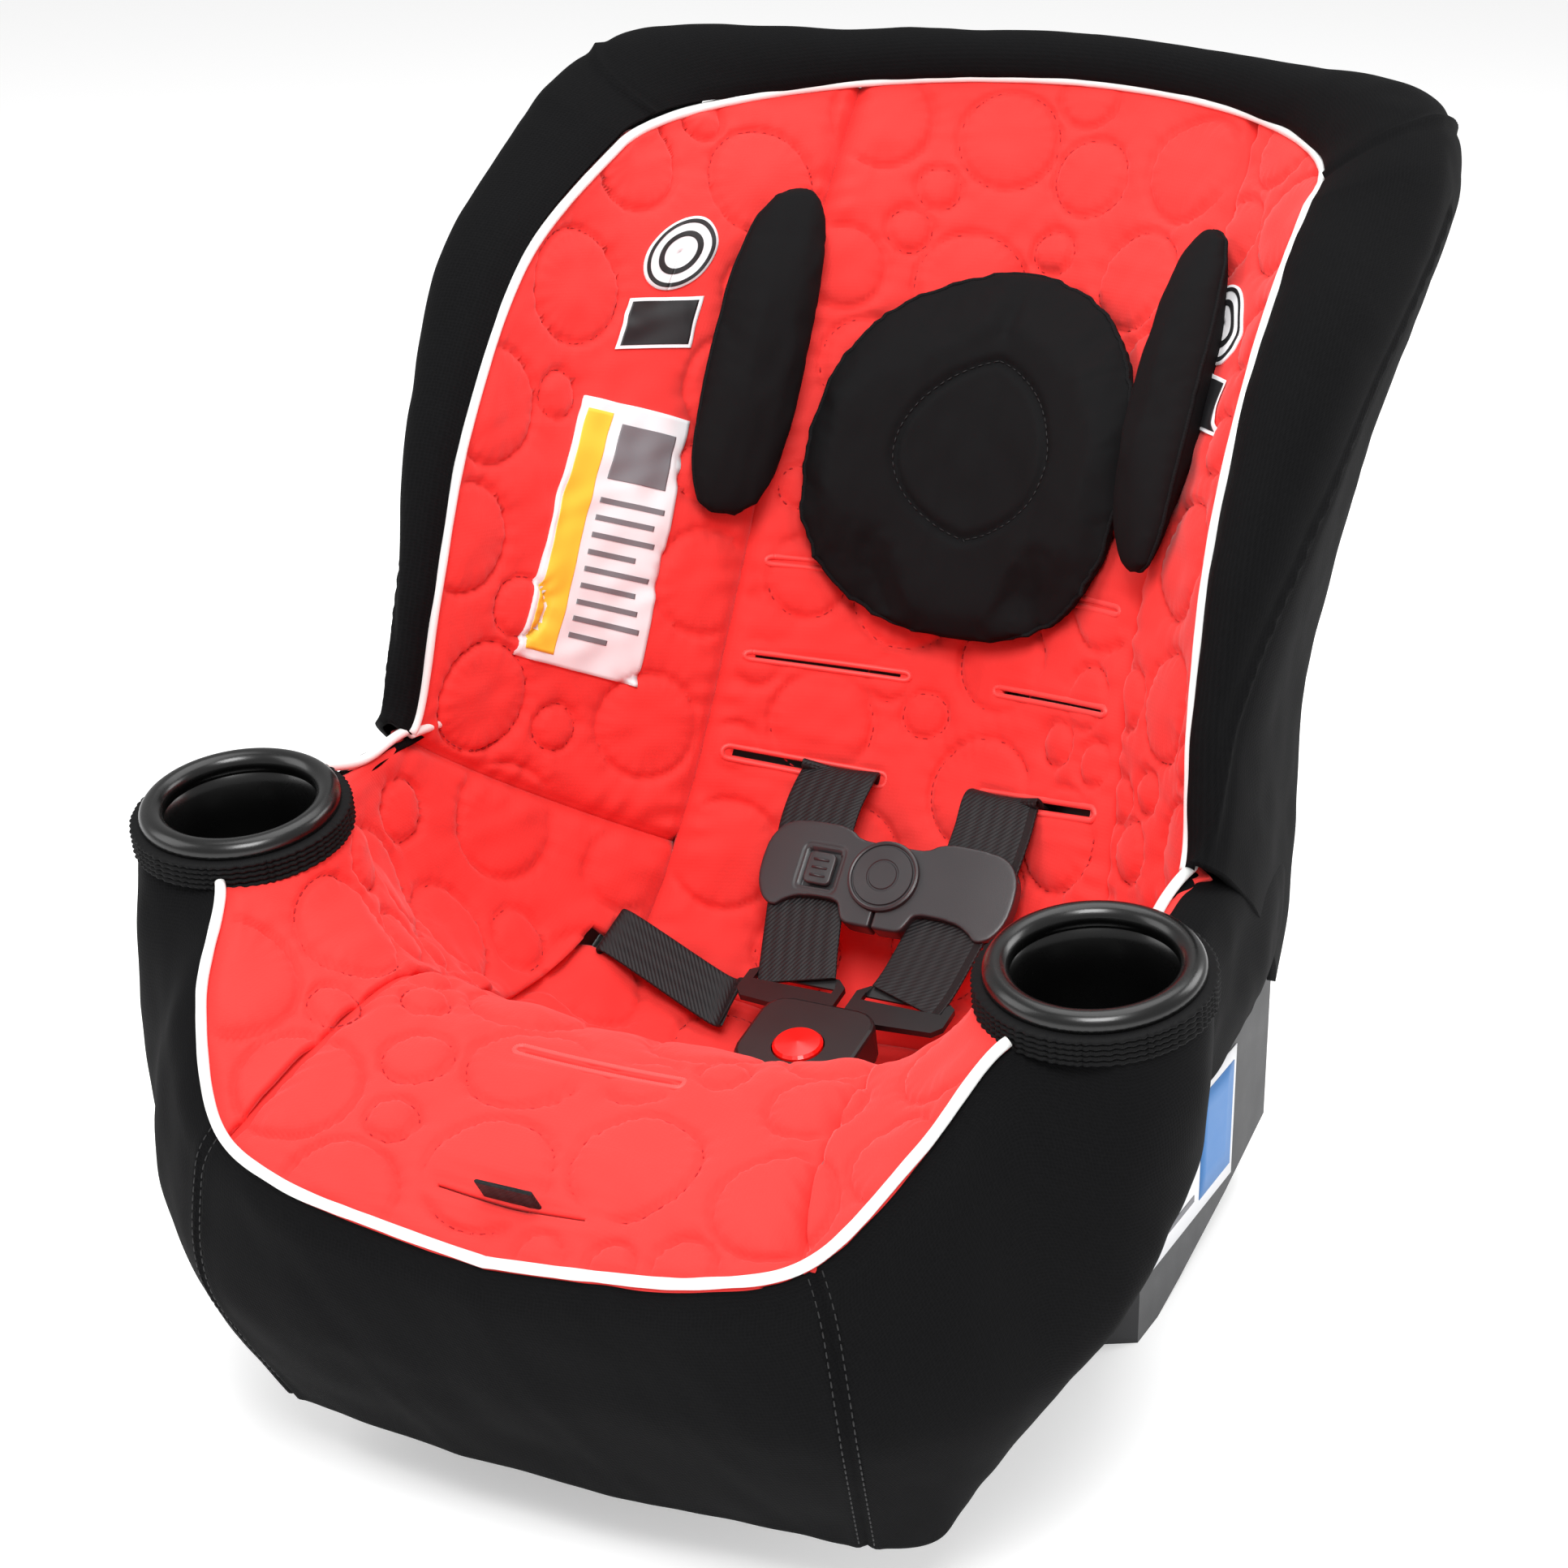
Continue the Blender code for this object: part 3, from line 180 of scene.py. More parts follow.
SKIRT = (
    ((0.000, -0.2815, 0.158), (0.000, -0.2850, 0.140), (0.000, -0.2690, 0.095), (0.000, -0.2350, 0.040)),
    ((0.045, -0.2815, 0.163), (0.045, -0.2850, 0.145), (0.045, -0.2690, 0.096), (0.045, -0.2340, 0.039)),
    ((0.093, -0.2810, 0.171), (0.094, -0.2840, 0.153), (0.098, -0.2690, 0.100), (0.094, -0.2290, 0.038)),
    ((0.131, -0.2660, 0.182), (0.139, -0.2690, 0.161), (0.144, -0.2610, 0.105), (0.133, -0.2200, 0.036)),
    ((0.158, -0.2330, 0.217), (0.170, -0.2420, 0.190), (0.178, -0.2370, 0.115), (0.153, -0.2040, 0.034)),
    (under_elastic(-20), (0.190, -0.2150, 0.205), (0.200, -0.2080, 0.125), (0.163, -0.1940, 0.047)),
    (under_elastic(35), (0.2250, -0.1840, 0.196), (0.2200, -0.1790, 0.140), (0.172, -0.1680, 0.070)),
    (under_elastic(85), (0.2360, -0.1500, 0.200), (0.2280, -0.1480, 0.166), (0.187, -0.1530, 0.118)),
    (under_elastic(130), (0.2290, -0.1150, 0.206), (0.2220, -0.1150, 0.178), (0.199, -0.1330, 0.152)),
    (under_elastic(170), (0.2160, -0.0880, 0.222), (0.2130, -0.0830, 0.190), (0.200, -0.0900, 0.163)),
    ((0.1885, -0.0650, 0.256), (0.2060, -0.0620, 0.244), (0.2070, -0.0540, 0.200), (0.200, -0.0480, 0.167)),
    ((0.1870, -0.0300, 0.258), (0.2040, -0.0280, 0.248), (0.2050, -0.0180, 0.206), (0.200, -0.0080, 0.170)),
    ((0.1880, 0.0200, 0.254), (0.2030, 0.0220, 0.239), (0.2040, 0.0300, 0.200), (0.196, 0.0380, 0.172)),
    ((0.1830, 0.0750, 0.245), (0.1950, 0.0780, 0.226), (0.1930, 0.0850, 0.190), (0.185, 0.0900, 0.165)),
)
SKIRT_CORNER = 3


def skirt_point(t, k):
    """Points of the skirt round the right half of the seat."""
    t, k = np.broadcast_arrays(np.asarray(t, float), np.asarray(k, float))
    flat = np.array(SKIRT).reshape(len(SKIRT), -1)
    rows = spline(flat, t).reshape(t.shape + (4, 3))
    i = np.minimum(k.astype(int), 2)
    f = (k - i)[..., None]
    p0, p1, p2, p3 = (np.take_along_axis(rows, np.clip(i + d, 0, 3)[..., None, None], axis=-2)[..., 0, :]
                      for d in (-1, 0, 1, 2))
    return 0.5 * (2 * p1 + (p2 - p0) * f + (2 * p0 - 5 * p1 + 4 * p2 - p3) * f ** 2
                  + (3 * p1 - p0 - 3 * p2 + p3) * f ** 3)


# Where the liner's rim goes on the arms: cross-section row, and place round the cup's elastic band.
ARM_RIM = ((6.3, -168), (7.0, -134), (8.0, -90), (9.0, -48), (10.0, -20))
# Which section of the skirt's top line the liner's front edge meets, by s.
FRONT_EDGE = ((0.0, 0.0), (0.1, 0.76), (0.25, 1.62), (0.5, 2.9), (0.75, 4.05), (1.0, 5.0))


def ease(x):
    """A smooth step from 0 to 1."""
    x = np.clip(x, 0, 1)
    return x * x * (3 - 2 * x)


def rim_shift(v):
    """How far the arm's rim moves to tuck under the cup's elastic band, on the right side."""
    rows = np.array(ARM_RIM)
    angles = np.radians(np.interp(v, rows[:, 0], rows[:, 1]))
    radius, z = LINER_TUCK
    y = -radius * np.cos(angles)
    goal = np.stack((CUP_X + radius * np.sin(angles),
                     CUP_Y + y * math.cos(CUP_TILT) - z * math.sin(CUP_TILT),
                     CUP_Z + y * math.sin(CUP_TILT) + z * math.cos(CUP_TILT)), axis=-1)
    return (goal - bucket(v, 1.0)) * ease((v - 5.7) / 0.9)[..., None]


def lined(v, s):
    """The liner's smooth surface: the bucket, drawn under the elastic bands and out to the front piping."""
    v, s = np.broadcast_arrays(np.asarray(v, float), np.asarray(s, float))
    across = np.abs(s)
    flip = np.stack((np.where(s < 0, -1.0, 1.0), np.ones_like(s), np.ones_like(s)), axis=-1)
    inner = ease((across - 0.52) / 0.48)[..., None]
    arm = bucket(v, across) + inner * rim_shift(v)
    edges = np.array(FRONT_EDGE)
    t = np.interp(across, edges[:, 0], edges[:, 1])
    front = skirt_point(t, np.zeros_like(t))
    last = np.full_like(v, float(LAST))
    to_front = front - (bucket(last, across) + inner * rim_shift(last))
    return (arm + ease((v - 8.7) / 1.3)[..., None] * to_front) * flip


def lined_normal(v, s):
    """Unit normals of the liner's smooth surface, towards the child."""
    s = np.clip(s, -0.985, 0.985)
    v = np.clip(v, 0.02, LAST - 0.02)
    n = np.cross(lined(v + 0.02, s) - lined(v - 0.02, s), lined(v, s + 0.01) - lined(v, s - 0.01))
    return n / np.linalg.norm(n, axis=-1, keepdims=True)


def normals_of(points):
    """Unit normals of a grid of points."""
    n = np.cross(np.gradient(points, axis=0), np.gradient(points, axis=1))
    return n / np.maximum(np.linalg.norm(n, axis=2, keepdims=True), 1e-12)


def lengths(points, axis):
    """Arc length along a grid's axis, from its start."""
    step = np.linalg.norm(np.diff(points, axis=axis), axis=2)
    pad = np.zeros_like(np.take(step, [0], axis=axis))
    return np.concatenate((pad, np.cumsum(step, axis=axis)), axis=axis)


def ripples(points, seed, size, count=7):
    """Smooth random waves over points, about -1 to 1, with the given size in metres."""
    rng = np.random.default_rng(seed)
    total = np.zeros(points.shape[:-1])
    for _ in range(count):
        a = rng.normal(size=3)
        b = rng.normal(size=3)
        a *= math.tau / (size * np.linalg.norm(a)) * rng.uniform(0.6, 1.5)
        b *= math.tau / (size * 2.3 * np.linalg.norm(b))
        total += np.sin(points @ a + 1.6 * np.sin(points @ b + rng.uniform(0, 6)) + rng.uniform(0, 6))
    return total / math.sqrt(count * 2)


# ---------------------------------------------------------------- mesh helpers

def mesh_object(name, verts, faces, mat, uv=None, smooth=True):
    """A mesh object from arrays; uv is one pair for each vertex, in metres."""
    mesh = bpy.data.meshes.new(name)
    mesh.from_pydata(np.asarray(verts, float).tolist(), [], [list(map(int, f)) for f in faces])
    if uv is not None:
        layer = mesh.uv_layers.new(name="metres")
        loops = np.zeros(len(mesh.loops), int)
        mesh.loops.foreach_get("vertex_index", loops)
        layer.data.foreach_set("uv", np.asarray(uv, float)[loops].astype(np.float32).ravel())
    mesh.materials.append(mat)
    if smooth:
        mesh.shade_smooth()
    made = bpy.data.objects.new(name, mesh)
    bpy.context.scene.collection.objects.link(made)
    return made


def cloth_sheet(name, points, normals, thick, mat, keep=None, uv=None):
    """A closed sheet from a grid of points: the outer face, an inner face behind it, and its edges."""
    rows, columns = points.shape[:2]
    used = np.ones((rows - 1, columns - 1), bool) if keep is None else keep
    verts = np.concatenate((points.reshape(-1, 3), (points - normals * thick).reshape(-1, 3)))
    under = rows * columns
    index = np.arange(under).reshape(rows, columns)
    a, b, c, d = index[:-1, :-1], index[:-1, 1:], index[1:, 1:], index[1:, :-1]
    top = np.stack((a, b, c, d), axis=-1)[used]
    faces = [top, top[:, ::-1] + under]
    pad = np.pad(used, 1)
    for p, q, open_side in ((a, b, ~pad[:-2, 1:-1]), (b, c, ~pad[1:-1, 2:]), (c, d, ~pad[2:, 1:-1]),
                            (d, a, ~pad[1:-1, :-2])):
        rim = used & open_side
        faces.append(np.stack((q[rim], p[rim], p[rim] + under, q[rim] + under), axis=-1))
    faces = np.concatenate(faces)
    live, faces = np.unique(faces, return_inverse=True)
    faces = faces.reshape(-1, 4)
    if uv is not None:
        uv = np.concatenate((uv.reshape(-1, 2), uv.reshape(-1, 2)))[live]
    made = mesh_object(name, verts[live], faces, mat, uv)
    tidy_normals(made)
    return made


def tidy_normals(made):
    """Turns an object's faces outwards."""
    work = bmesh.new()
    work.from_mesh(made.data)
    bmesh.ops.recalc_face_normals(work, faces=work.faces)
    work.to_mesh(made.data)
    work.free()


def sweep(name, path, section, mat, closed=False, normals=None, radii=None):
    """A section swept along a path; its first axis lies across the path, its second along the normals."""
    path = np.asarray(path, float)
    run = np.gradient(path, axis=0)
    if closed:
        run = np.roll(path, -1, axis=0) - np.roll(path, 1, axis=0)
    run /= np.linalg.norm(run, axis=1, keepdims=True)
    if normals is None:
        up = np.array((0.3, 0.2, 0.93))
        normals = []
        for along in run:
            up = up - along * (up @ along)
            up = up / np.linalg.norm(up)
            normals.append(up)
        normals = np.array(normals)
    side = np.cross(run, normals)
    side /= np.linalg.norm(side, axis=1, keepdims=True)
    up = np.cross(side, run)
    scale = np.ones(len(path)) if radii is None else np.asarray(radii)
    section = np.asarray(section, float)
    ring = (path[:, None] + (side[:, None] * section[None, :, :1] + up[:, None] * section[None, :, 1:])
            * scale[:, None, None])
    count, around = len(path), len(section)
    faces = []
    for i in range(count if closed else count - 1):
        for k in range(around):
            m, j = (k + 1) % around, (i + 1) % count
            faces.append((i * around + k, i * around + m, j * around + m, j * around + k))
    if not closed:
        faces.append(list(range(around))[::-1])
        faces.append([(count - 1) * around + k for k in range(around)])
    along_path = np.concatenate(([0], np.cumsum(np.linalg.norm(np.diff(path, axis=0), axis=1))))
    around_path = np.concatenate(([0], np.cumsum(np.linalg.norm(np.diff(section, axis=0), axis=1))))
    uv = np.stack(np.broadcast_arrays(around_path[None, :], along_path[:, None]), axis=-1).reshape(-1, 2)
    verts = ring.reshape(-1, 3)
    made = bpy.data.meshes.new(name)
    made.from_pydata(verts.tolist(), [], faces)
    layer = made.uv_layers.new(name="metres")
    loops = np.zeros(len(made.loops), int)
    made.loops.foreach_get("vertex_index", loops)
    layer.data.foreach_set("uv", uv[loops].astype(np.float32).ravel())
    made.materials.append(mat)
    made.shade_smooth()
    thing = bpy.data.objects.new(name, made)
    bpy.context.scene.collection.objects.link(thing)
    tidy_normals(thing)
    return thing


def circle_section(radius, sides=10):
    """A round section for sweep()."""
    turn = np.arange(sides) * math.tau / sides
    return np.stack((radius * np.cos(turn), radius * np.sin(turn)), axis=1)


def resample(path, step):
    """Points along a path at an even step."""
    path = np.asarray(path, float)
    run = np.concatenate(([0], np.cumsum(np.linalg.norm(np.diff(path, axis=0), axis=1))))
    want = np.linspace(0, run[-1], max(int(run[-1] / step), 2) + 1)
    return np.stack([np.interp(want, run, path[:, k]) for k in range(3)], axis=1)


def stitch_mesh(name, lines, mat, length=0.0026, gap=0.0014, radius=0.00042):
    """Sewing thread along lines of (points, normals): one short plump stitch after another."""
    verts, faces = [], []
    profile = ((-0.5, 0.0), (-0.42, 0.8), (0.0, 1.0), (0.42, 0.8), (0.5, 0.0))
    for path, normal in lines:
        path = np.asarray(path, float)
        run = np.concatenate(([0], np.cumsum(np.linalg.norm(np.diff(path, axis=0), axis=1))))
        count = int(run[-1] / (length + gap))
        for n in range(count):
            at = (n + 0.5) * (length + gap)
            here = np.array([np.interp(at, run, path[:, k]) for k in range(3)])
            ahead = np.array([np.interp(at + length * 0.4, run, path[:, k]) for k in range(3)])
            behind = np.array([np.interp(at - length * 0.4, run, path[:, k]) for k in range(3)])
            up = np.array([np.interp(at, run, normal[:, k]) for k in range(3)])
            along = ahead - behind
            along /= max(np.linalg.norm(along), 1e-9)
            side = np.cross(along, up)
            side /= max(np.linalg.norm(side), 1e-9)
            up = np.cross(side, along)
            start = len(verts)
            for share, fat in profile:
                centre = here + along * share * length
                if fat == 0.0:
                    verts.append(centre - up * radius)
                    continue
                for k in range(5):
                    a = math.tau * k / 5
                    verts.append(centre + (side * math.cos(a) + up * math.sin(a)) * radius * fat)
            first = start + 1
            for k in range(5):
                m = (k + 1) % 5
                faces.append((start, first + m, first + k))
                for r in range(2):
                    low, high = first + 5 * r, first + 5 * (r + 1)
                    faces.append((low + k, low + m, high + m, high + k))
                faces.append((first + 10 + k, first + 10 + m, first + 15))
    work = mesh_object(name, verts, faces, mat)
    tidy_normals(work)
    return work


def turned(name, profile, mat, steps=96, place=Matrix.Identity(4), wobble=None):
    """A body turned about its own Z axis from a closed profile of (radius, z)."""
    profile = np.asarray(profile, float)
    turn = np.arange(steps) * math.tau / steps
    radius = np.repeat(profile[None, :, 0], steps, axis=0)
    height = np.repeat(profile[None, :, 1], steps, axis=0)
    if wobble is not None:
        radius = radius + wobble(turn[:, None], height)
    local = np.stack((radius * np.cos(turn)[:, None], radius * np.sin(turn)[:, None], height), axis=-1)
    matrix = np.array(place)
    world = local.reshape(-1, 3) @ matrix[:3, :3].T + matrix[:3, 3]
    count = len(profile)
    faces = [(i * count + k, i * count + (k + 1) % count, ((i + 1) % steps) * count + (k + 1) % count,
              ((i + 1) % steps) * count + k) for i in range(steps) for k in range(count)]
    run = np.concatenate(([0], np.cumsum(np.linalg.norm(np.diff(profile, axis=0), axis=1))))
    round_it = turn * profile[:, 0].max()
    uv = np.stack(np.broadcast_arrays(round_it[:, None], run[None, :]), axis=-1).reshape(-1, 2)
    made = mesh_object(name, world, faces, mat, uv)
    work = bmesh.new()
    work.from_mesh(made.data)
    bmesh.ops.remove_doubles(work, verts=work.verts, dist=1e-6)
    bmesh.ops.recalc_face_normals(work, faces=work.faces)
    work.to_mesh(made.data)
    work.free()
    made.data.set_sharp_from_angle(angle=math.radians(40))
    return made


def frame_at(origin, x_axis, y_axis):
    """A local frame whose X and Y axes are given."""
    x = Vector(x_axis).normalized()
    z = x.cross(Vector(y_axis)).normalized()
    y = z.cross(x)
    made = Matrix((x, y, z)).transposed().to_4x4()
    made.translation = Vector(origin)
    return made


def cup_frame(sign):
    """Origin at the middle of the cup's rim, Z along its axis."""
    return Matrix.Translation((sign * CUP_X, CUP_Y, CUP_Z)) @ Matrix.Rotation(CUP_TILT, 4, "X")


def rides(made, body, slot, *replaced):
    """Says which body a piece moves with and which CAD nodes it stands for. The slot argument is not used."""
    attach(made, body)
    if replaced:
        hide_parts(*replaced)
    return made


# ---------------------------------------------------------------- materials

def linear(r, g, b):
    """A colour given in 0-255 sRGB, as linear values."""
    out = []
    for c in (r, g, b):
        c = c / 255
        out.append(c / 12.92 if c <= 0.04045 else ((c + 0.055) / 1.055) ** 2.4)
    return (*out, 1)


class Finish:
    """A Principled material with node helpers."""

    def __init__(self, name, color, roughness, metallic=0.0, sheen=0.0, coat=0.0, specular=0.5):
        self.material = bpy.data.materials.new(name)
        self.material.use_nodes = True
        self.tree = self.material.node_tree
        self.shader = self.tree.nodes["Principled BSDF"]
        self.shader.inputs["Base Color"].default_value = color
        self.shader.inputs["Roughness"].default_value = roughness
        self.shader.inputs["Metallic"].default_value = metallic
        self.shader.inputs["Sheen Weight"].default_value = sheen
        self.shader.inputs["Sheen Roughness"].default_value = 0.45
        self.shader.inputs["Coat Weight"].default_value = coat
        self.shader.inputs["Coat Roughness"].default_value = 0.12
        self.shader.inputs["Specular IOR Level"].default_value = specular
        self.color = color
        self.normal = None

    def node(self, kind, **inputs):
        made = self.tree.nodes.new(kind)
        for key, value in inputs.items():
            made.inputs[key.replace("_", " ")].default_value = value
        return made

    def link(self, a, b):
        self.tree.links.new(a, b)

    def place(self, uv, scale):
        """Texture coordinates: object space, or the UV map in metres, scaled."""
        source = self.node("ShaderNodeTexCoord").outputs["UV" if uv else "Object"]
        mapping = self.node("ShaderNodeMapping")
        mapping.inputs["Scale"].default_value = scale if isinstance(scale, tuple) else (scale,) * 3
        self.link(source, mapping.inputs["Vector"])
        return mapping.outputs["Vector"]

    def noise(self, scale, detail=3.0, uv=False):
        made = self.node("ShaderNodeTexNoise", Scale=1.0, Detail=detail)
        self.link(self.place(uv, scale), made.inputs["Vector"])
        return made.outputs["Fac"]

    def voronoi(self, scale, uv=True, feature="F1"):
        made = self.node("ShaderNodeTexVoronoi", Scale=1.0, Randomness=0.25)
        made.feature = feature
        self.link(self.place(uv, scale), made.inputs["Vector"])
        return made.outputs["Distance"]

    def wave(self, scale, uv=True, direction="X", distortion=0.0):
        made = self.node("ShaderNodeTexWave", Scale=1.0, Distortion=distortion)
        made.bands_direction = direction
        made.wave_profile = "SIN"
        self.link(self.place(uv, scale), made.inputs["Vector"])
        return made.outputs["Fac"]

    def math(self, operation, a, b):
        made = self.tree.nodes.new("ShaderNodeMath")
        made.operation = operation
        for socket, value in zip(made.inputs, (a, b)):
            if isinstance(value, (int, float)):
                socket.default_value = value
            else:
                self.link(value, socket)
        return made.outputs[0]

    def bump(self, height, strength, distance):
        made = self.node("ShaderNodeBump", Strength=strength, Distance=distance)
        self.link(height, made.inputs["Height"])
        if self.normal is not None:
            self.link(self.normal, made.inputs["Normal"])
        self.normal = made.outputs["Normal"]
        self.link(self.normal, self.shader.inputs["Normal"])

    def shade(self, factor, low, high):
        """Varies the base colour between two multiples of itself."""
        ramp = self.node("ShaderNodeMapRange")
        ramp.inputs["To Min"].default_value = low
        ramp.inputs["To Max"].default_value = high
        self.link(factor, ramp.inputs["Value"])
        mix = self.tree.nodes.new("ShaderNodeVectorMath")
        mix.operation = "SCALE"
        mix.inputs[0].default_value = self.color[:3]
        self.link(ramp.outputs["Result"], mix.inputs["Scale"])
        self.link(mix.outputs["Vector"], self.shader.inputs["Base Color"])

    def roughness(self, factor, low, high):
        ramp = self.node("ShaderNodeMapRange")
        ramp.inputs["To Min"].default_value = low
        ramp.inputs["To Max"].default_value = high
        self.link(factor, ramp.inputs["Value"])
        self.link(ramp.outputs["Result"], self.shader.inputs["Roughness"])


def red_fabric():
    made = Finish("liner_fabric", linear(236, 58, 54), 0.80, sheen=0.12, specular=0.2)
    weave = made.math("MULTIPLY", made.wave(180.0, direction="X"), made.wave(180.0, direction="Y"))
    made.bump(weave, 0.35, 0.00012)
    made.bump(made.noise(260.0, 4.0), 0.25, 0.0004)
    made.shade(made.noise(14.0, 2.0), 0.93, 1.05)
    return made.material


def knit(name, value, cell=0.0015):
    made = Finish(name, linear(value, value, value + 1), 0.85, specular=0.07)
    holes = made.voronoi(1 / cell)
    made.bump(holes, 0.55, 0.00035)
    # the colour follows the cells of the bump: darkest in each cell's hollow middle and lighter on its raised
    # rim, which is painted shade in the knit's hollows
    made.shade(holes, 0.55, 1.35)
    made.bump(made.noise(90.0, 3.0), 0.15, 0.0006)
    return made.material


def piping_cloth():
    made = Finish("piping_cloth", linear(243, 243, 241), 0.42, specular=0.5, coat=0.15)
    made.bump(made.wave((0.0, 900.0, 0.0), direction="Y"), 0.15, 0.0001)
    made.shade(made.noise(40.0, 2.0), 0.95, 1.02)
    return made.material


def webbing():
    made = Finish("webbing", linear(20, 20, 22), 0.55, sheen=0.02, specular=0.3)
    rib = made.wave((50.0, 0.0, 0.0), direction="X")
    twill = made.wave((260.0, 260.0, 0.0), direction="DIAGONAL")
    made.bump(rib, 0.5, 0.00035)
    made.bump(twill, 0.6, 0.00025)
    # the colour follows the twill's bump, darker in its grooves: painted shade in the twill grooves
    made.shade(twill, 0.7, 1.2)
    return made.material


def plastic(name, color, roughness, grain=0.0, coat=0.0):
    made = Finish(name, color, roughness, coat=coat)
    if grain:
        made.bump(made.noise(1400.0, 2.0), 0.25, grain)
    made.bump(made.noise(30.0, 2.0), 0.05, 0.0008)
    made.roughness(made.noise(60.0, 3.0), roughness * 0.88, min(roughness * 1.15, 1))
    made.shade(made.noise(9.0, 2.0), 0.92, 1.06)
    return made.material


def steel():
    made = Finish("plated_steel", linear(170, 172, 176), 0.32, metallic=1.0)
    made.roughness(made.noise(120.0, 4.0), 0.24, 0.42)
    made.bump(made.noise(700.0, 2.0), 0.08, 0.0001)
    return made.material


MAT = {
    "liner": red_fabric(),
    "thread": Finish("liner_thread", linear(168, 10, 20), 0.7, sheen=0.05).material,
    "satin": Finish("satin_stitch", linear(255, 70, 66), 0.5, sheen=0.2).material,
    "knit": knit("cover_knit", 15),
    "pillow": knit("pillow_knit", 26, 0.0014),
    "dark_thread": Finish("dark_thread", linear(20, 20, 21), 0.6).material,
    "piping": piping_cloth(),
    "web": webbing(),
    "clip": plastic("clip_plastic", linear(46, 46, 48), 0.36, 0.00012),
    "buckle": plastic("buckle_plastic", linear(18, 18, 19), 0.33, 0.00008),
    "button": plastic("button_plastic", linear(228, 22, 16), 0.22, coat=0.4),
    "gloss": plastic("cup_plastic", linear(6, 6, 6), 0.27, 0.00005, coat=0.1),
    "shell": plastic("shell_plastic", linear(24, 24, 25), 0.55, 0.0002),
    "base": plastic("base_plastic", linear(40, 40, 42), 0.50, 0.0002),
    "foam": plastic("foam", linear(222, 220, 214), 0.9, 0.0006),
    "steel": steel(),
    "white": plastic("patch_white", linear(238, 238, 240), 0.6, 0.0001),
    "yellow": plastic("patch_yellow", linear(250, 205, 60), 0.6),
    "grey": plastic("patch_grey", linear(120, 120, 124), 0.6),
    "black": plastic("patch_black", linear(28, 28, 30), 0.5),
    "blue": plastic("patch_blue", linear(52, 122, 190), 0.45),
}


def elastic():
    made = Finish("elastic", linear(9, 9, 10), 0.65, specular=0.15)
    made.bump(made.wave((520.0, 0.0, 0.0), direction="X"), 0.35, 0.0002)
    made.shade(made.noise(120.0, 3.0), 0.85, 1.15)
    return made.material


MAT["elastic"] = elastic()


# ---------------------------------------------------------------- quilted liner

# Room without quilting for the sewn patches: centre and radius.
PATCH_MIDDLES = ((2.00, -0.655), (2.30, -0.655), (2.60, -0.655), (2.90, -0.655), (3.25, -0.655))
BADGES = (("left", 1.08, -0.645), ("right", 1.19, 0.535))
PATCH_ROOM = [(bucket(v, s), 0.022) for v, s in PATCH_MIDDLES]
PATCH_ROOM += [(bucket(v + down, s), 0.022) for _, v, s in BADGES for down in (0.0, 0.38)]


def quilt_circles():
    """Sewn circles scattered over the bucket, none touching another: (v, s, centre, radius, two tangents)."""
    circles = []
    radii = (0.026, 0.020, 0.0145, 0.0105)
    for radius in radii:
        for _ in range(1500):
            v, s = RNG.uniform(0.1, 9.8), RNG.uniform(-0.93, 0.93)
            centre = lined(v, s)
            if abs(abs(s) - 0.422) < radius * 1.9 and v < 4.9:
                continue
            if abs(abs(s) - 0.500) < radius * 1.6 and v > 4.9:
                continue
            if abs(v - 5.04) < radius * 14 or (abs(v - 4.26) < radius * 13 and abs(s) > 0.42):
                continue
            if any(np.linalg.norm(centre - spot) < radius + room for spot, room in PATCH_ROOM):
                continue
            if any(np.linalg.norm(centre - other[2]) < radius + other[3] + 0.0028 for other in circles):
                continue
            one = lined(v + 0.01, s) - lined(v - 0.01, s)
            one /= np.linalg.norm(one)
            two = np.cross(lined_normal(v, s), one)
            circles.append((v, s, centre, radius * RNG.uniform(0.93, 1.05), one, two))
    return circles


CIRCLES = quilt_circles()
CENTRES = np.array([c[2] for c in CIRCLES])
RADII = np.array([c[3] for c in CIRCLES])
TANGENTS = np.array([(c[4], c[5]) for c in CIRCLES])


def quilt_height(points):
    """How far the quilted face stands from the bucket's surface, from its sewn circles and wrinkles."""
    flat = points.reshape(-1, 3)
    nearest = np.full(len(flat), 1.0)
    which = np.zeros(len(flat), int)
    inner = np.zeros(len(flat))
    for n, (centre, radius) in enumerate(zip(CENTRES, RADII)):
        r = np.linalg.norm(flat - centre, axis=1)
        d = np.abs(r - radius)
        closer = d < nearest
        nearest = np.where(closer, d, nearest)
        which = np.where(closer, n, which)
        inner = np.where(r < radius, 1 - (r / radius) ** 2, inner)
    offset = flat - CENTRES[which]
    turn = np.arctan2((offset * TANGENTS[which, 1]).sum(1), (offset * TANGENTS[which, 0]).sum(1))
    number = np.round(RADII[which] * math.tau / 0.0075)
    pucker = np.sin(turn * number + which * 1.7 + 1.2 * np.sin(turn * 3 + which))
    groove = -0.0022 * np.exp(-(nearest / 0.0014) ** 2)
    puff = 0.0020 * (1 - np.exp(-nearest / 0.0050)) + 0.0014 * inner
    pleats = 0.00060 * pucker * np.exp(-nearest / 0.0048) * (1 - np.exp(-(nearest / 0.0009) ** 2))
    waves = 0.0012 * ripples(flat, 3, 0.060) + 0.0007 * ripples(flat, 5, 0.024)
    return (groove + puff + pleats + waves).reshape(points.shape[:-1])


def edge_roll(edge, along):
    """A panel's stuffed edge, turned down towards its seam, with the small gathers that the seam draws in."""
    roll = -0.0042 * np.exp(-(edge / 0.0028) ** 2) - 0.0022 * np.exp(-(edge / 0.011) ** 2)
    gathers = np.sin(along * math.tau / 0.017 + 2.1 * np.sin(along * math.tau / 0.062))
    return roll + 0.0008 * gathers * np.exp(-((edge - 0.006) / 0.007) ** 2)


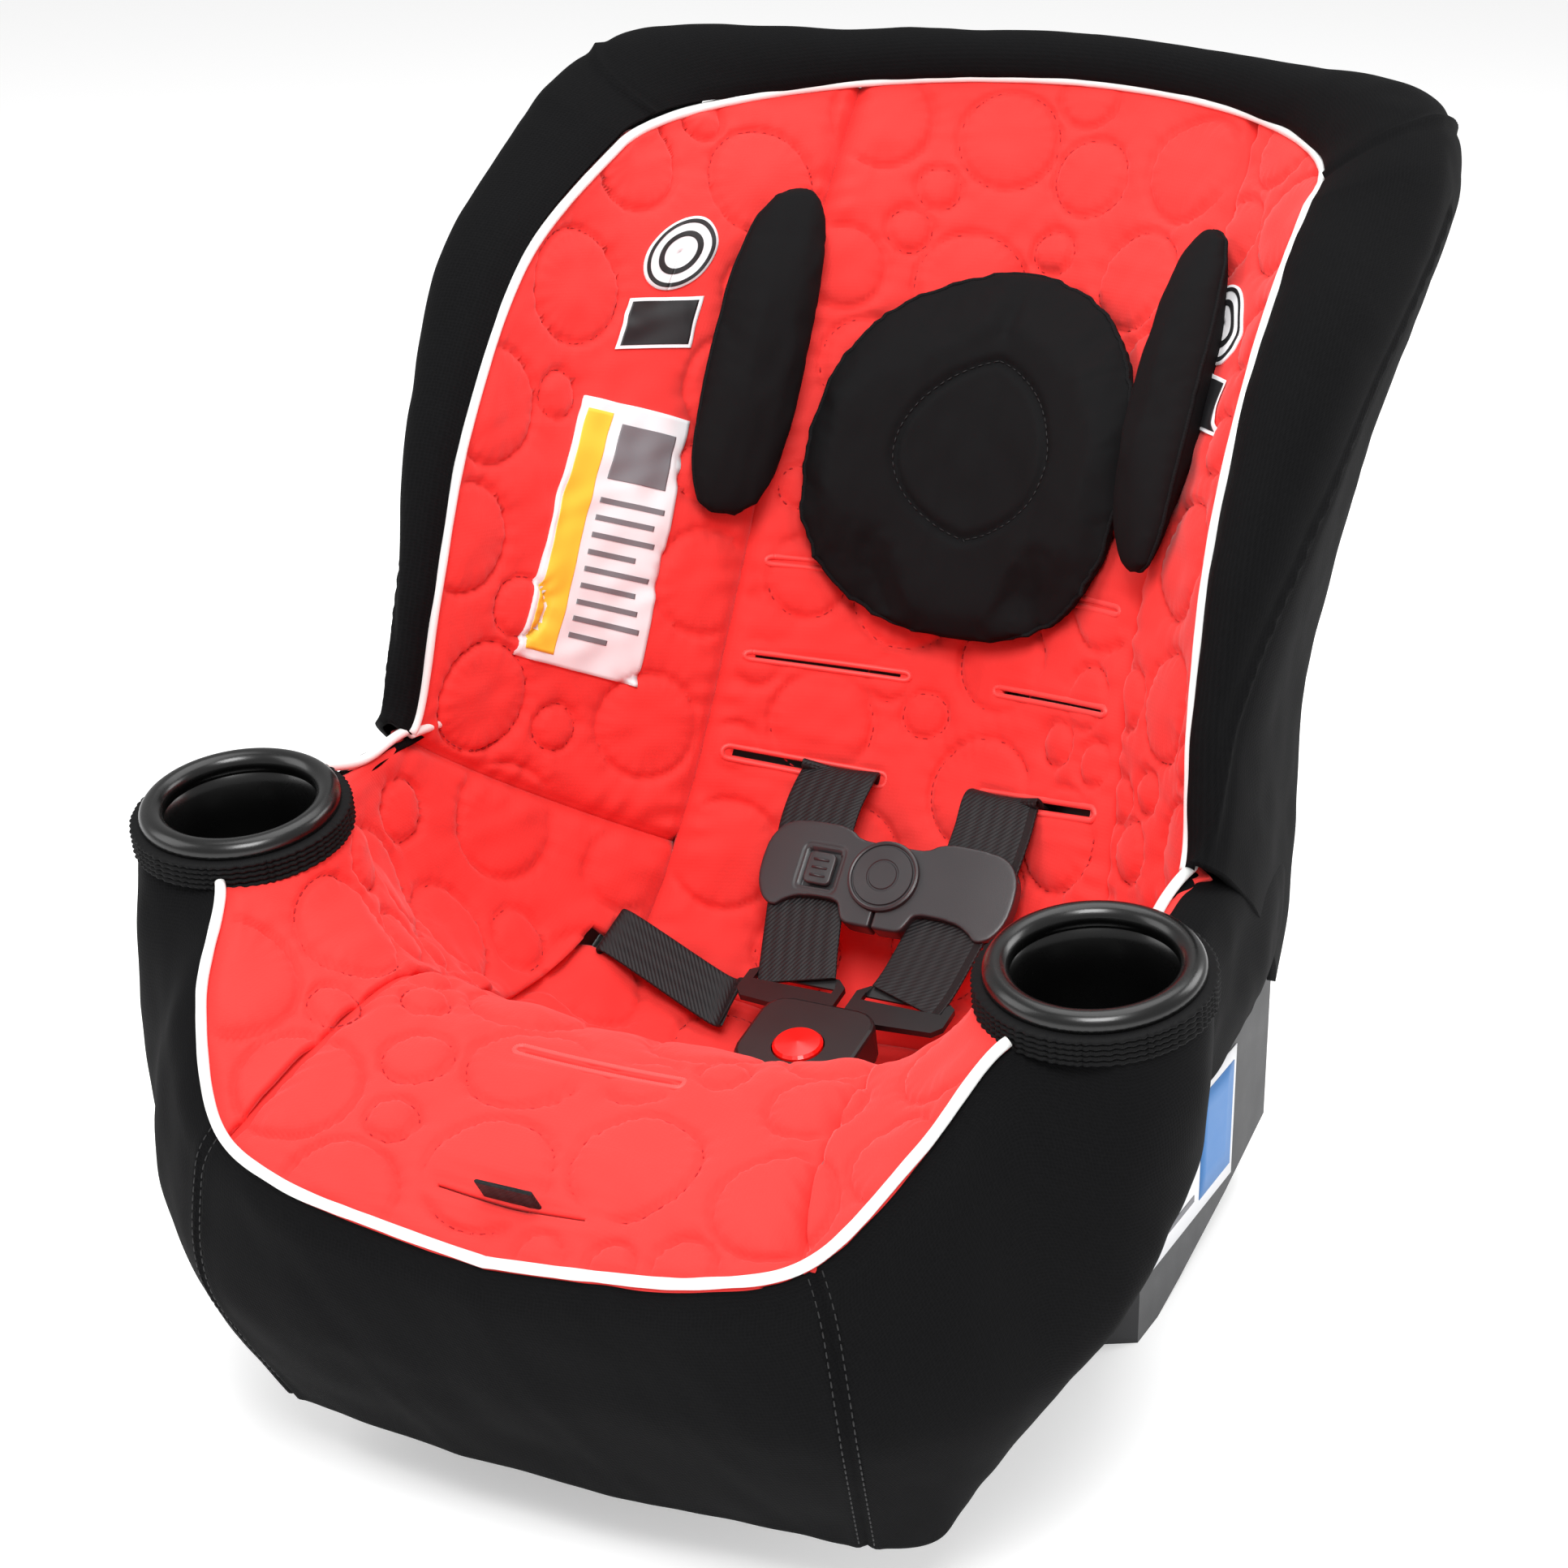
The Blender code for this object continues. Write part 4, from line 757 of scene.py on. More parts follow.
def liner_panel(name, v_span, s_span, seams, holes=(), step=0.0019, drop_corner=None):
    """One sewn panel of the liner.

    seams says which edges are sewn to another panel: v low, v high, s low, s high. holes are slits through it,
    as (v, s low, s high, half height).
    """
    middle = np.mean(s_span)
    tall = lengths(lined(np.linspace(*v_span, 60), middle)[:, None], 0)[-1, 0]
    middle_v = np.mean(v_span)
    wide = lengths(lined(middle_v, np.linspace(*s_span, 60))[None], 1)[0, -1]
    v = np.linspace(*v_span, int(tall / step) + 2)[:, None]
    s = np.linspace(*s_span, int(wide / step) + 2)[None, :]
    points = lined(v, s)
    normals = lined_normal(*np.broadcast_arrays(v, s))
    along, across = lengths(points, 0), lengths(points, 1)
    gaps = (along, along[-1:] - along, across, across[:, -1:] - across)
    runs = (across, across, along, along)
    rim = np.minimum.reduce(gaps)
    height = quilt_height(points) * (1 - np.exp(-(rim / 0.006) ** 2))
    for gap, run, sewn in zip(gaps, runs, seams):
        if sewn:
            height = height + edge_roll(gap, run)
    keep = np.ones((points.shape[0] - 1, points.shape[1] - 1), bool)
    for hole_v, low, high, half in holes:
        off = np.abs((v - hole_v)) * (tall / (v_span[1] - v_span[0]))
        beside = np.maximum(np.maximum(low - s, s - high), 0) * (wide / (s_span[1] - s_span[0]))
        away = np.sqrt(np.maximum(off - half, 0) ** 2 + beside ** 2)
        height = height * np.clip(away / 0.012, 0.15, 1) + 0.0010 * np.exp(-((away - 0.004) / 0.003) ** 2)
        inside = (off < half) & (s > low) & (s < high)
        keep &= ~(inside[:-1, :-1] & inside[1:, 1:])
    if drop_corner is not None:
        v_mid, s_mid = (v[:-1] + v[1:]) / 2, (s[:, :-1] + s[:, 1:]) / 2
        keep &= ~drop_corner(v_mid, s_mid)
    uv = np.stack((across - across[:, across.shape[1] // 2][:, None], along), axis=-1)
    made = cloth_sheet(name, points + normals * height[..., None], normals, 0.0045, MAT["liner"], keep, uv)
    return made


def circle_lines(v_span, s_span):
    """The sewn lines of the circles whose centres lie in a panel."""
    lines = []
    for v, s, centre, radius, one, two in CIRCLES:
        if not (v_span[0] < v < v_span[1] and s_span[0] < s < s_span[1]):
            continue
        dv = np.linalg.norm(lined(v + 0.01, s) - lined(v - 0.01, s)) / 0.02
        ds = np.linalg.norm(lined(v, s + 0.01) - lined(v, s - 0.01)) / 0.02
        turn = np.linspace(0, math.tau, 49)
        step_v, step_s = radius * np.cos(turn) / dv, radius * np.sin(turn) / ds
        scale = np.ones(len(turn))
        for _ in range(5):
            spots = lined(np.clip(v + step_v * scale, 0, LAST), np.clip(s + step_s * scale, -1, 1))
            scale *= radius / np.maximum(np.linalg.norm(spots - centre, axis=1), 1e-6)
        vv, ss = v + step_v * scale, s + step_s * scale
        inside = (vv > v_span[0] + 0.06) & (vv < v_span[1] - 0.06)
        inside &= (ss > s_span[0] + 0.02) & (ss < s_span[1] - 0.02)
        if not inside.all():
            continue
        spots = lined(vv, ss)
        normals = lined_normal(vv, ss)
        lines.append((spots + normals * (quilt_height(spots) + 0.00035)[:, None], normals))
    return lines


def slot_edge(name, v, low, high, half):
    """Satin stitching round a slit: a ribbed cord."""
    dv = np.linalg.norm(bucket(v + 0.01, 0.2) - bucket(v - 0.01, 0.2)) / 0.02
    reach = (half + 0.0008) / dv
    end = 0.012
    turn = np.linspace(-math.pi / 2, math.pi / 2, 9)
    right = [(v - reach * math.sin(-a), high + end * math.cos(a)) for a in turn]
    left = [(v - reach * math.sin(a), low - end * math.cos(a)) for a in turn]
    loop = [(v - reach, k) for k in np.linspace(low, high, 20)[:-1]] + right
    loop += [(v + reach, k) for k in np.linspace(high, low, 20)[:-1]] + left
    loop = np.array(loop)
    path = bucket(loop[:, 0], loop[:, 1])
    path = resample(np.concatenate((path, path[:1])), 0.00045)[:-1]
    normals = bucket_normal(v, (low + high) / 2)
    normals = np.repeat(normals[None], len(path), axis=0)
    radii = 1 + 0.14 * np.where(np.arange(len(path)) % 2, 1, -1)
    return sweep(name, path + normals * 0.0004, circle_section(0.0013, 8), MAT["satin"], True, normals, radii)


def liner():
    """All quilted panels with their sewing."""
    shoulder_slots = []
    for v, half in SLOT_ROWS:
        for low, high in (SLOT_S, (-SLOT_S[1], -SLOT_S[0])):
            shoulder_slots.append((v, low, high, half))
    back = liner_panel("liner_back_quilted", (0.0, FOLD_V), (-SEAM_S, SEAM_S), (False, True, True, True),
                       shoulder_slots)
    rides(back, "frame", "liner", "liner_back")
    seat_slots = [(FRONT_SLOT_V, -0.115, 0.115, 0.0022), (CROTCH_V, -0.115, 0.115, 0.0060),
                  (TAB_V, -0.105, 0.105, 0.0026)]
    seat = liner_panel("liner_seat_quilted", (FOLD_V, LAST), (-SEAT_S, SEAT_S), (True, False, True, True),
                       seat_slots, drop_corner=lambda v, s: (v < 5.19) & (np.abs(s) > 0.458))
    rides(seat, "frame", "liner", "liner_seat")
    for side, sign in SIDES:
        span = sorted((sign * SEAM_S, sign * 1.0))
        inner_low = sign > 0
        wing = liner_panel(f"liner_wing_{side}_quilted", (0.0, WING_V), span,
                           (False, True, inner_low, not inner_low))
        rides(wing, "frame", "liner", "liner_wing_" + side)
        arm = liner_panel(f"liner_arm_{side}_quilted", (WING_V, LAST), span,
                          (True, False, inner_low, not inner_low),
                          drop_corner=lambda v, s: ((v > FOLD_V) & (np.abs(s) < SEAT_S))
                          | ((v > 4.91) & (v < 5.19) & (np.abs(s) > 0.455) & (np.abs(s) < 0.472)))
        rides(arm, "frame", "liner", "liner_arm_" + side)
    lines = circle_lines((0.0, FOLD_V), (-SEAM_S, SEAM_S)) + circle_lines((FOLD_V, LAST), (-SEAT_S, SEAT_S))
    for span in ((SEAM_S, 1.0), (-1.0, -SEAM_S)):
        lines += circle_lines((0.0, WING_V), span) + circle_lines((WING_V, LAST), span)
    rides(stitch_mesh("liner_quilting_thread", lines, MAT["thread"]), "frame", "liner")
    for number, (v, low, high, half) in enumerate(shoulder_slots + seat_slots[:1]):
        rides(slot_edge(f"slot_edge_{number + 1}", v, low, high, half), "frame", "liner")


def seam_tapes():
    """Red tape behind the seams between the seat and the arms, so that no seam looks into the dark."""
    for side, sign in SIDES:
        vv = np.linspace(FOLD_V + 0.2, LAST - 0.02, 160)[:, None]
        ss = np.linspace(SEAT_S - 0.035, SEAT_S + 0.035, 14)[None, :] * sign
        points = lined(vv, ss)
        normals = lined_normal(*np.broadcast_arrays(vv, ss))
        tape = cloth_sheet("seam_tape_" + side, points - normals * TAPE_DEPTH, normals, 0.0008, MAT["liner"])
        rides(tape, "frame", "liner")


# ---------------------------------------------------------------- knitted cover

def both_halves(point, t, k):
    """A grid of a surface's right half and its mirror image, joined at the middle."""
    right = point(t[:, None], k[None, :])
    left = right[::-1] * (-1, 1, 1)
    return np.concatenate((left[:-1], right))


def groove(points, path, width, depth):
    """A sewn seam: how far points sink near a path."""
    flat = points.reshape(-1, 3)
    near = np.full(len(flat), 1.0)
    for start in range(0, len(path), 400):
        part = path[start:start + 400]
        gap = np.linalg.norm(flat[:, None] - part[None], axis=2).min(1)
        near = np.minimum(near, gap)
    near = near.reshape(points.shape[:-1])
    lips = 0.35 * depth * np.exp(-((near - 2.6 * width) / (1.6 * width)) ** 2)
    return lips - depth * np.exp(-(near / width) ** 2)


def cover_sheet(name, points, mat, seams, thick, waves, inward):
    """A knitted cover panel with sewn seams and slight wrinkles."""
    normals = normals_of(points) * inward
    height = waves * ripples(points, 11, 0.075) + 0.4 * waves * ripples(points, 12, 0.030)
    for path in seams:
        height = height + groove(points, path, 0.0016, 0.0016)
    along, across = lengths(points, 0), lengths(points, 1)
    uv = np.stack((across, along), axis=-1)
    made = cloth_sheet(name, points + normals * height[..., None], normals, thick, mat, None, uv)
    return made


def seam_stitches(point, t, k, inward, offset):
    """Topstitching beside a seam that runs down a surface at t."""
    spots = point(np.full(len(k), t), k)
    beside = point(np.full(len(k), t + 0.02), k)
    run = np.gradient(spots, axis=0)
    normal = np.cross(beside - spots, run)
    normal /= np.linalg.norm(normal, axis=1, keepdims=True)
    side = (beside - spots) / np.linalg.norm(beside - spots, axis=1, keepdims=True)
    return spots + side * offset + normal * inward * 0.0004, normal * inward


def covers():
    """The cover round the back and the skirt round the seat."""
    t = np.concatenate((np.linspace(0, BAND_SPLIT, 80)[:-1], np.linspace(BAND_SPLIT, len(BAND) - 1, 150)))
    k = np.linspace(0, len(BAND_SECTION) - 1, 70)
    points = both_halves(band_point, t, k)
    seams = []
    stitches = []
    down = np.linspace(0.15, len(BAND_SECTION) - 1.05, 160)
    for sign in (-1, 1):
        seams.append(band_point(np.full(160, BAND_SPLIT), down) * (sign, 1, 1))
        low = np.linspace(4.5, len(BAND) - 1, 160)
        seams.append(band_point(low, np.linspace(5.4, 1.4, 160)) * (sign, 1, 1))
    back = cover_sheet("cover_back_knit", points, MAT["knit"], seams, 0.0040, 0.0007, OUTWARD)
    rides(back, "frame", "knit", "cover_top", "cover_wing_left", "cover_wing_right")
    for sign in (-1, 1):
        for offset in (-0.0030, 0.0030):
            path, normal = seam_stitches(band_point, BAND_SPLIT, down, OUTWARD, offset)
            stitches.append((path * (sign, 1, 1), normal * (sign, 1, 1)))
    t = np.concatenate((np.linspace(0, SKIRT_CORNER, 70)[:-1],
                        np.linspace(SKIRT_CORNER, len(SKIRT) - 1, 190)))
    k = np.linspace(0, 3, 76)
    points = both_halves(skirt_point, t, k)
    down = np.linspace(0.1, 2.98, 160)
    seams = [skirt_point(np.full(160, SKIRT_CORNER), down) * (sign, 1, 1) for sign in (-1, 1)]
    skirt = cover_sheet("skirt_knit", points, MAT["knit"], seams, 0.0035, 0.0010, OUTWARD)
    rides(skirt, "frame", "knit", "skirt_front", "skirt_left", "skirt_right")
    for sign in (-1, 1):
        for offset in (-0.0030, 0.0030):
            path, normal = seam_stitches(skirt_point, SKIRT_CORNER, down, OUTWARD, offset)
            stitches.append((path * (sign, 1, 1), normal * (sign, 1, 1)))
    rides(stitch_mesh("cover_thread", stitches, MAT["dark_thread"], 0.0030, 0.0012, 0.00036), "frame", "knit")


def piping():
    """White piping along both seams, each a cord with a slightly uneven cloth skin."""
    right = band_rim(np.linspace(0, len(BAND) - 1, 260))
    path = resample(np.concatenate(((right * (-1, 1, 1))[:0:-1], right)), 0.0025)
    uneven = 1 + 0.04 * ripples(path, 21, 0.02)
    rides(sweep("piping_back_cord", path, circle_section(PIPING_R, 14), MAT["piping"], radii=uneven),
          "frame", "piping", "piping_back")
    right = skirt_point(np.linspace(0, 4.93, 220), np.zeros(220)) + (0.0, -0.0008, PIPING_R + 0.0014)
    path = resample(np.concatenate(((right * (-1, 1, 1))[:0:-1], right)), 0.0025)
    uneven = 1 + 0.04 * ripples(path, 22, 0.02)
    rides(sweep("piping_front_cord", path, circle_section(PIPING_R, 14), MAT["piping"], radii=uneven),
          "frame", "piping", "piping_front")


def arm_piping():
    """Short lengths of piping from the cup holders back to the wings."""
    t = np.linspace(9.25, len(SKIRT) - 1, 60)
    rim = skirt_point(t, np.zeros(60)) + (0.0, 0.0, PIPING_R + 0.0010)
    wing = band_rim(np.array([len(BAND) - 1.0]))
    for side, sign in SIDES:
        path = resample(np.concatenate((rim, wing)) * (sign, 1, 1), 0.0025)
        cord = sweep("piping_arm_" + side, path, circle_section(PIPING_R, 14), MAT["piping"])
        rides(cord, "frame", "piping")


# ---------------------------------------------------------------- head support

def cushion_mesh(name, centre, half, power, top, mat, rings=16, turns=64):
    """A domed cushion on the bucket's surface, ready to be inflated."""
    turn = np.arange(turns) * math.tau / turns
    c, d = np.cos(turn), np.sin(turn)
    flat_v = np.sign(d) * np.abs(d) ** (2 / power)
    flat_s = np.sign(c) * np.abs(c) ** (2 / power)
    rows = []
    for n in range(rings + 1):
        a = math.pi * n / rings
        reach = math.sin(a) ** 0.6 if 0 < n < rings else 0.0
        rise = 0.5 - 0.5 * math.cos(a)
        v, s = centre[0] + half[0] * reach * flat_v, centre[1] + half[1] * reach * flat_s
        depth = -0.0028 - (top - 0.0028) * rise
        rows.append(bucket(v, s) - bucket_normal(v, s) * depth)
    verts = [rows[0][0]] + [p for row in rows[1:-1] for p in row] + [rows[-1][0]]
    faces = [(0, 1 + (k + 1) % turns, 1 + k) for k in range(turns)]
    for r in range(rings - 2):
        low, high = 1 + r * turns, 1 + (r + 1) * turns
        faces += [(low + k, low + (k + 1) % turns, high + (k + 1) % turns, high + k) for k in range(turns)]
    final = 1 + (rings - 2) * turns
    faces += [(final + k, final + (k + 1) % turns, len(verts) - 1) for k in range(turns)]
    made = mesh_object(name, verts, faces, mat)
    tidy_normals(made)
    return made


def inflate(made, voxel, pressure, cap, up, frames=18):
    """Cloth simulation: remeshes a pad evenly, swells it along up, and keeps the result within a cap."""
    remesh = made.modifiers.new("remesh", "REMESH")
    remesh.mode = "VOXEL"
    remesh.voxel_size = voxel
    apply_all(made)
    rest = points_of(made)
    cloth = made.modifiers.new("cloth", "CLOTH")
    settings = cloth.settings
    settings.use_pressure = True
    settings.uniform_pressure_force = pressure
    settings.effector_weights.gravity = 0
    settings.tension_stiffness = 12
    settings.bending_stiffness = 0.4
    settings.shrink_min = -0.06
    cloth.collision_settings.use_collision = False
    cloth.point_cache.frame_start = 1
    cloth.point_cache.frame_end = frames
    scene = bpy.context.scene
    for number in range(1, frames + 1):
        scene.frame_set(number)
    graph = bpy.context.evaluated_depsgraph_get()
    swollen = points_of(made.evaluated_get(graph))
    made.modifiers.clear()
    scene.frame_set(1)
    move = swollen - rest
    rise = (move @ up)[:, None] * up
    move = rise + SIDEWAYS * (move - rise)
    size = np.linalg.norm(move, axis=1, keepdims=True)
    move *= np.minimum(1, cap / np.maximum(size, 1e-9))
    made.data.vertices.foreach_set("co", (rest + move).astype(np.float32).ravel())
    made.data.update()


def points_of(made):
    """An object's vertices as an array."""
    co = np.zeros(len(made.data.vertices) * 3, np.float32)
    made.data.vertices.foreach_get("co", co)
    return co.reshape(-1, 3).astype(float)


def apply_all(made):
    """Replaces an object's mesh by its modified shape."""
    graph = bpy.context.evaluated_depsgraph_get()
    mesh = bpy.data.meshes.new_from_object(made.evaluated_get(graph))
    made.modifiers.clear()
    made.data = mesh


def outline_path(centre, half, power, depth, count=220):
    """A closed line on the bucket at a share of a cushion's extents."""
    turn = np.linspace(0, math.tau, count)
    c, d = np.cos(turn), np.sin(turn)
    v = centre[0] + half[0] * np.sign(d) * np.abs(d) ** (2 / power)
    s = centre[1] + half[1] * np.sign(c) * np.abs(c) ** (2 / power)
    normals = bucket_normal(v, s)
    return bucket(v, s) - normals * depth, normals


def sink_along(made, path, width, depth, toward):
    """Sews a line into a pad: its vertices near the path move along a direction."""
    co = points_of(made)
    near = np.full(len(co), 1.0)
    for start in range(0, len(path), 100):
        near = np.minimum(near, np.linalg.norm(co[:, None] - path[None, start:start + 100], axis=2).min(1))
    move = depth * np.exp(-(near / width) ** 2)
    made.data.vertices.foreach_set("co", (co + toward * move[:, None]).astype(np.float32).ravel())
    made.data.update()


def on_surface(made, path, normals, lift):
    """Drops a line's points onto an object's surface from the child's side."""
    graph = bpy.context.evaluated_depsgraph_get()
    target = made.evaluated_get(graph)
    out = []
    for point, normal in zip(path, normals):
        hit, spot, _, _ = target.ray_cast(Vector(point + normal * 0.06), Vector(-normal), distance=0.12)
        out.append(np.array(spot) + normal * lift if hit else point)
    return np.array(out)


def pad(name, node, centre, half, power, top, oval):
    """A head-support cushion: swollen by cloth simulation, then sewn round an oval."""
    made = cushion_mesh(name, centre, half, power, top, MAT["pillow"])
    middle = bucket_normal(*centre)
    inflate(made, 0.0040, 4.0, 0.006, middle)
    smooth = made.modifiers.new("smooth", "SUBSURF")
    smooth.levels = smooth.render_levels = 1
    apply_all(made)
    made.data.shade_smooth()
    co = points_of(made)
    swell = 0.0006 * ripples(co, 31, 0.045) + 0.0003 * ripples(co, 32, 0.018)
    made.data.vertices.foreach_set("co", (co + middle * swell[:, None]).astype(np.float32).ravel())
    lines = []
    for share_v, share_s in oval:
        path, normals = outline_path(centre, (half[0] * share_v, half[1] * share_s), 2.0, -top)
        path = on_surface(made, path, normals, 0.0)
        sink_along(made, path, 0.0022, -0.0032, middle)
        path = on_surface(made, path, normals, 0.0004)
        lines.append((path, normals))
    rides(made, "frame", "pillow", node)
    if lines:
        thread = stitch_mesh(name + "_thread", lines, MAT["dark_thread"], 0.0028, 0.0012, 0.00034)
        rides(thread, "frame", "pillow")
    path, normals = outline_path(centre, half, power, -top * 0.48, 300)
    path = np.array([made.closest_point_on_mesh(Vector(p))[1] for p in resample(path, 0.002)[:-1]])
    rides(sweep(name + "_seam", path, circle_section(0.0011, 8), MAT["pillow"], True), "frame", "pillow")


def pillow():
    """The head support: a main pad and two side bolsters."""
    pad("pillow_pad_soft", "pillow_pad", (2.10, 0.0), (0.92, 0.395), 2.5, 0.0240, ((0.48, 0.62),))
    for side, sign in SIDES:
        name = "pillow_bolster_" + side
        pad(name + "_soft", name, (1.62, sign * 0.485), (0.86, 0.078), 2.8, 0.0215, ())


# ---------------------------------------------------------------- harness

WEB_WIDTH = 0.038
WEB_THICK = 0.0016
CLIP_AT = (0.0, 0.0921, 0.1764)
CLIP_UP = (0.0, 0.669, 0.743)
HIP_AT = (5.05, 0.4625)
SHELL_BACK = 0.0245
ADJUSTER_V = 9.01


def depth_point(v, depth, s=0.0):
    """A point behind the bucket's surface."""
    return bucket(v, s) - bucket_normal(v, s) * depth


def web_section(width, thick):
    """Webbing across: flat, with rounded edges."""
    half, low = width / 2, thick / 2
    turn = np.linspace(-math.pi / 2, math.pi / 2, 5)
    right = [(half - low + low * math.cos(a), low * math.sin(a)) for a in turn]
    left = [(-half + low - low * math.cos(a), -low * math.sin(a)) for a in turn]
    top = [(x, low) for x in np.linspace(half - low, -half + low, 12)[1:-1]]
    base = [(x, -low) for x in np.linspace(-half + low, half - low, 12)[1:-1]]
    return right + top + left + base


def ribbon(name, node, path, across, width, sign, bend=None):
    """Webbing along a smooth path. When bend is given, the webbing is baked in place, joined to no body, and
    its CAD node hidden; what bend holds (both bodies, start and end) is not used.
    """
    flip = np.array((sign, 1, 1))
    path = np.array(path, float) * flip
    across = np.array(across, float) * flip
    spots = np.linspace(0, len(path) - 1, 24 * len(path))
    centre = spline(path, spots)
    side = spline(across, spots)
    run = np.gradient(centre, axis=0)
    normals = np.cross(side, run)
    normals /= np.linalg.norm(normals, axis=1, keepdims=True)
    made = sweep(name, centre, web_section(width, WEB_THICK), MAT["web"], normals=normals)
    if bend is None:
        return rides(made, "frame", "web", node)
    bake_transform(made)
    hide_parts(node)
    return made


def webs():
    """The harness webbing."""
    path = [(0.0440, 0.1935, 0.1560), (0.0450, 0.1925, 0.1700)]
    path += [depth_point(SLOT_ROWS[2][0], depth, WEB_S) for depth in (0.0340, 0.0245, 0.0120, 0.0, -0.0090)]
    path += [(0.0430, 0.1133, 0.2023), (0.0425, 0.1011, 0.1899), (0.0400, 0.0921, 0.1764),
             (0.0360, 0.0768, 0.1627), (0.0310, 0.0598, 0.1460), (0.0275, 0.0500, 0.1380)]
    v, s = HIP_AT
    along = depth_point(v + 0.05, 0, s) - depth_point(v - 0.05, 0, s)
    hip = [(0.0590, 0.0460, 0.1230), (0.0700, 0.0485, 0.1225)]
    hip += [depth_point(v, depth, s) for depth in (-0.0080, 0.0, 0.0100, 0.0200, 0.0305)]
    hip_across = [(0.00, 0.80, 0.60), (0.05, 0.78, 0.62)] + [-along / np.linalg.norm(along)] * 5
    for side, sign in SIDES:
        ends = [(sign * x, y, z) for x, y, z in (path[-4], path[-1])]
        ribbon("webbing_shoulder_" + side, "web_shoulder_" + side, path, [(1, 0, 0)] * len(path), WEB_WIDTH,
               sign, ("frame", "tongue_" + side, *ends))
        ribbon("webbing_hip_" + side, "web_hip_" + side, hip, hip_across, 0.026, sign)
    crotch = [depth_point(CROTCH_V, d) for d in (0.0330, 0.0200, 0.0080, 0.0, -0.0030)]
    crotch.append(np.array((0, -0.0215, 0.1150)))
    ribbon("webbing_crotch", "web_crotch", crotch, [(1, 0, 0)] * len(crotch), 0.032, 1)
    normal = bucket_normal(ADJUSTER_V, 0.0)
    origin = depth_point(ADJUSTER_V, SHELL_BACK + 0.0016)
    place = np.array(frame_at(origin, (1, 0, 0), np.cross(normal, (1, 0, 0))))
    run = [(0, 0.1925, 0.1330), (0, 0.1700, 0.0960), (0, 0.1100, 0.0620), (0, 0.0400, 0.0540),
           (0, -0.0400, 0.0700), (0, -0.1300, 0.1240)]
    run += [place[:3, :3] @ (0, y, z) + place[:3, 3] for y, z in
            ((0.0300, -0.0090), (0.0100, -0.0090), (-0.0100, -0.0090), (-0.0175, -0.0090), (-0.0215, -0.0072),
             (-0.0230, -0.0020))]
    run += [depth_point(TAB_V, depth) for depth in (0.0160, 0.0080, 0.0, -0.0120)]
    ribbon("webbing_adjuster", "web_adjuster", run, [(1, 0, 0)] * len(run), 0.0255, 1)


def cups():
    """Cup holders with rolled rims, and the ribbed elastic round their sleeves."""
    turn = np.linspace(-0.9, math.pi + 0.9, 24)
    roll, middle = 0.0054, 0.0376
    rim = [(middle + roll * math.cos(a), -roll + roll * math.sin(a)) for a in turn]
    cup = [(0, -0.0660), (0.0270, -0.0660), (0.0305, -0.0645), (0.0315, -0.0620), (0.0375, -0.0300),
           (0.0378, -0.0130)]
    cup += rim
    cup += [(0.0318, -0.0130), (0.0312, -0.0300), (0.0262, -0.0580), (0.0245, -0.0610), (0.0200, -0.0625),
            (0, -0.0630)]
    low, high = -0.0190, -0.0070
    heights = np.linspace(low, high, 41)
    ribs = 0.0011 * np.abs(np.sin((heights - low) / (high - low) * math.pi * 5))
    band = [(0.0412, low)] + [(SLEEVE_R - 0.0002 + r, h) for r, h in zip(ribs, heights)] + [(0.0412, high)]

    def gathers(turn, height):
        return 0.00035 * np.sin(turn * 74 + 2 * np.sin(turn * 9)) * (1 + 0.4 * np.sin(turn * 23))

    for side, sign in SIDES:
        place = cup_frame(sign)
        insert = turned("cup_insert_" + side, cup, MAT["gloss"], 128, place)
        rides(insert, "cup_" + side, "gloss", "cup_holder_" + side)
        rides(turned("cup_sleeve_" + side, band, MAT["elastic"], 360, place, gathers), "frame", "elastic",
              "cup_elastic_" + side)


# ---------------------------------------------------------------- patches and small parts

def surface_patch(name, corners, mat, lift, thick=0.0004, slot="liner"):
    """A thin sewn patch on the left wing: corners are (v, s) of its four corners, in order."""
    grid_u, grid_w = np.meshgrid(np.linspace(0, 1, 36), np.linspace(0, 1, 70))
    a, b, c, d = (np.array(p, float) for p in corners)
    u, w = grid_u[..., None], grid_w[..., None]
    vs = (1 - u) * (1 - w) * a + u * (1 - w) * b + u * w * c + (1 - u) * w * d
    points = lined(vs[..., 0], vs[..., 1])
    normals = lined_normal(vs[..., 0], vs[..., 1])
    points = points + normals * (lift + quilt_height(points))[..., None]
    made = cloth_sheet(name, points, normals, thick, mat)
    return rides(made, "frame", slot)


def inner(corners, left, right, low, high):
    """A smaller four-cornered area inside another, by shares of its sides."""
    a, b, c, d = (np.array(p, float) for p in corners)

    def at(u, w):
        return (1 - u) * (1 - w) * a + u * (1 - w) * b + u * w * c + (1 - u) * w * d
    return at(left, low), at(right, low), at(right, high), at(left, high)


def patches():
    """A plain care patch on the left wing, with a yellow strip, grey lines and a grey block."""
    label = ((1.84, -0.735), (1.98, -0.555), (3.43, -0.552), (3.35, -0.765))
    surface_patch("care_patch", label, MAT["white"], 0.0015, 0.0036)
    surface_patch("care_patch_strip", inner(label, 0.05, 0.30, 0.04, 0.96), MAT["yellow"], 0.0018)
    for n in range(9):
        low = 0.34 + 0.065 * n
        width = (0.92, 0.86, 0.90, 0.78, 0.92, 0.84, 0.88, 0.92, 0.70)[n]
        bar = inner(label, 0.38, width, low, low + 0.020)
        surface_patch(f"care_patch_line_{n + 1}", bar, MAT["grey"], 0.0018)
    surface_patch("care_patch_block", inner(label, 0.40, 0.90, 0.07, 0.27), MAT["grey"], 0.0018)


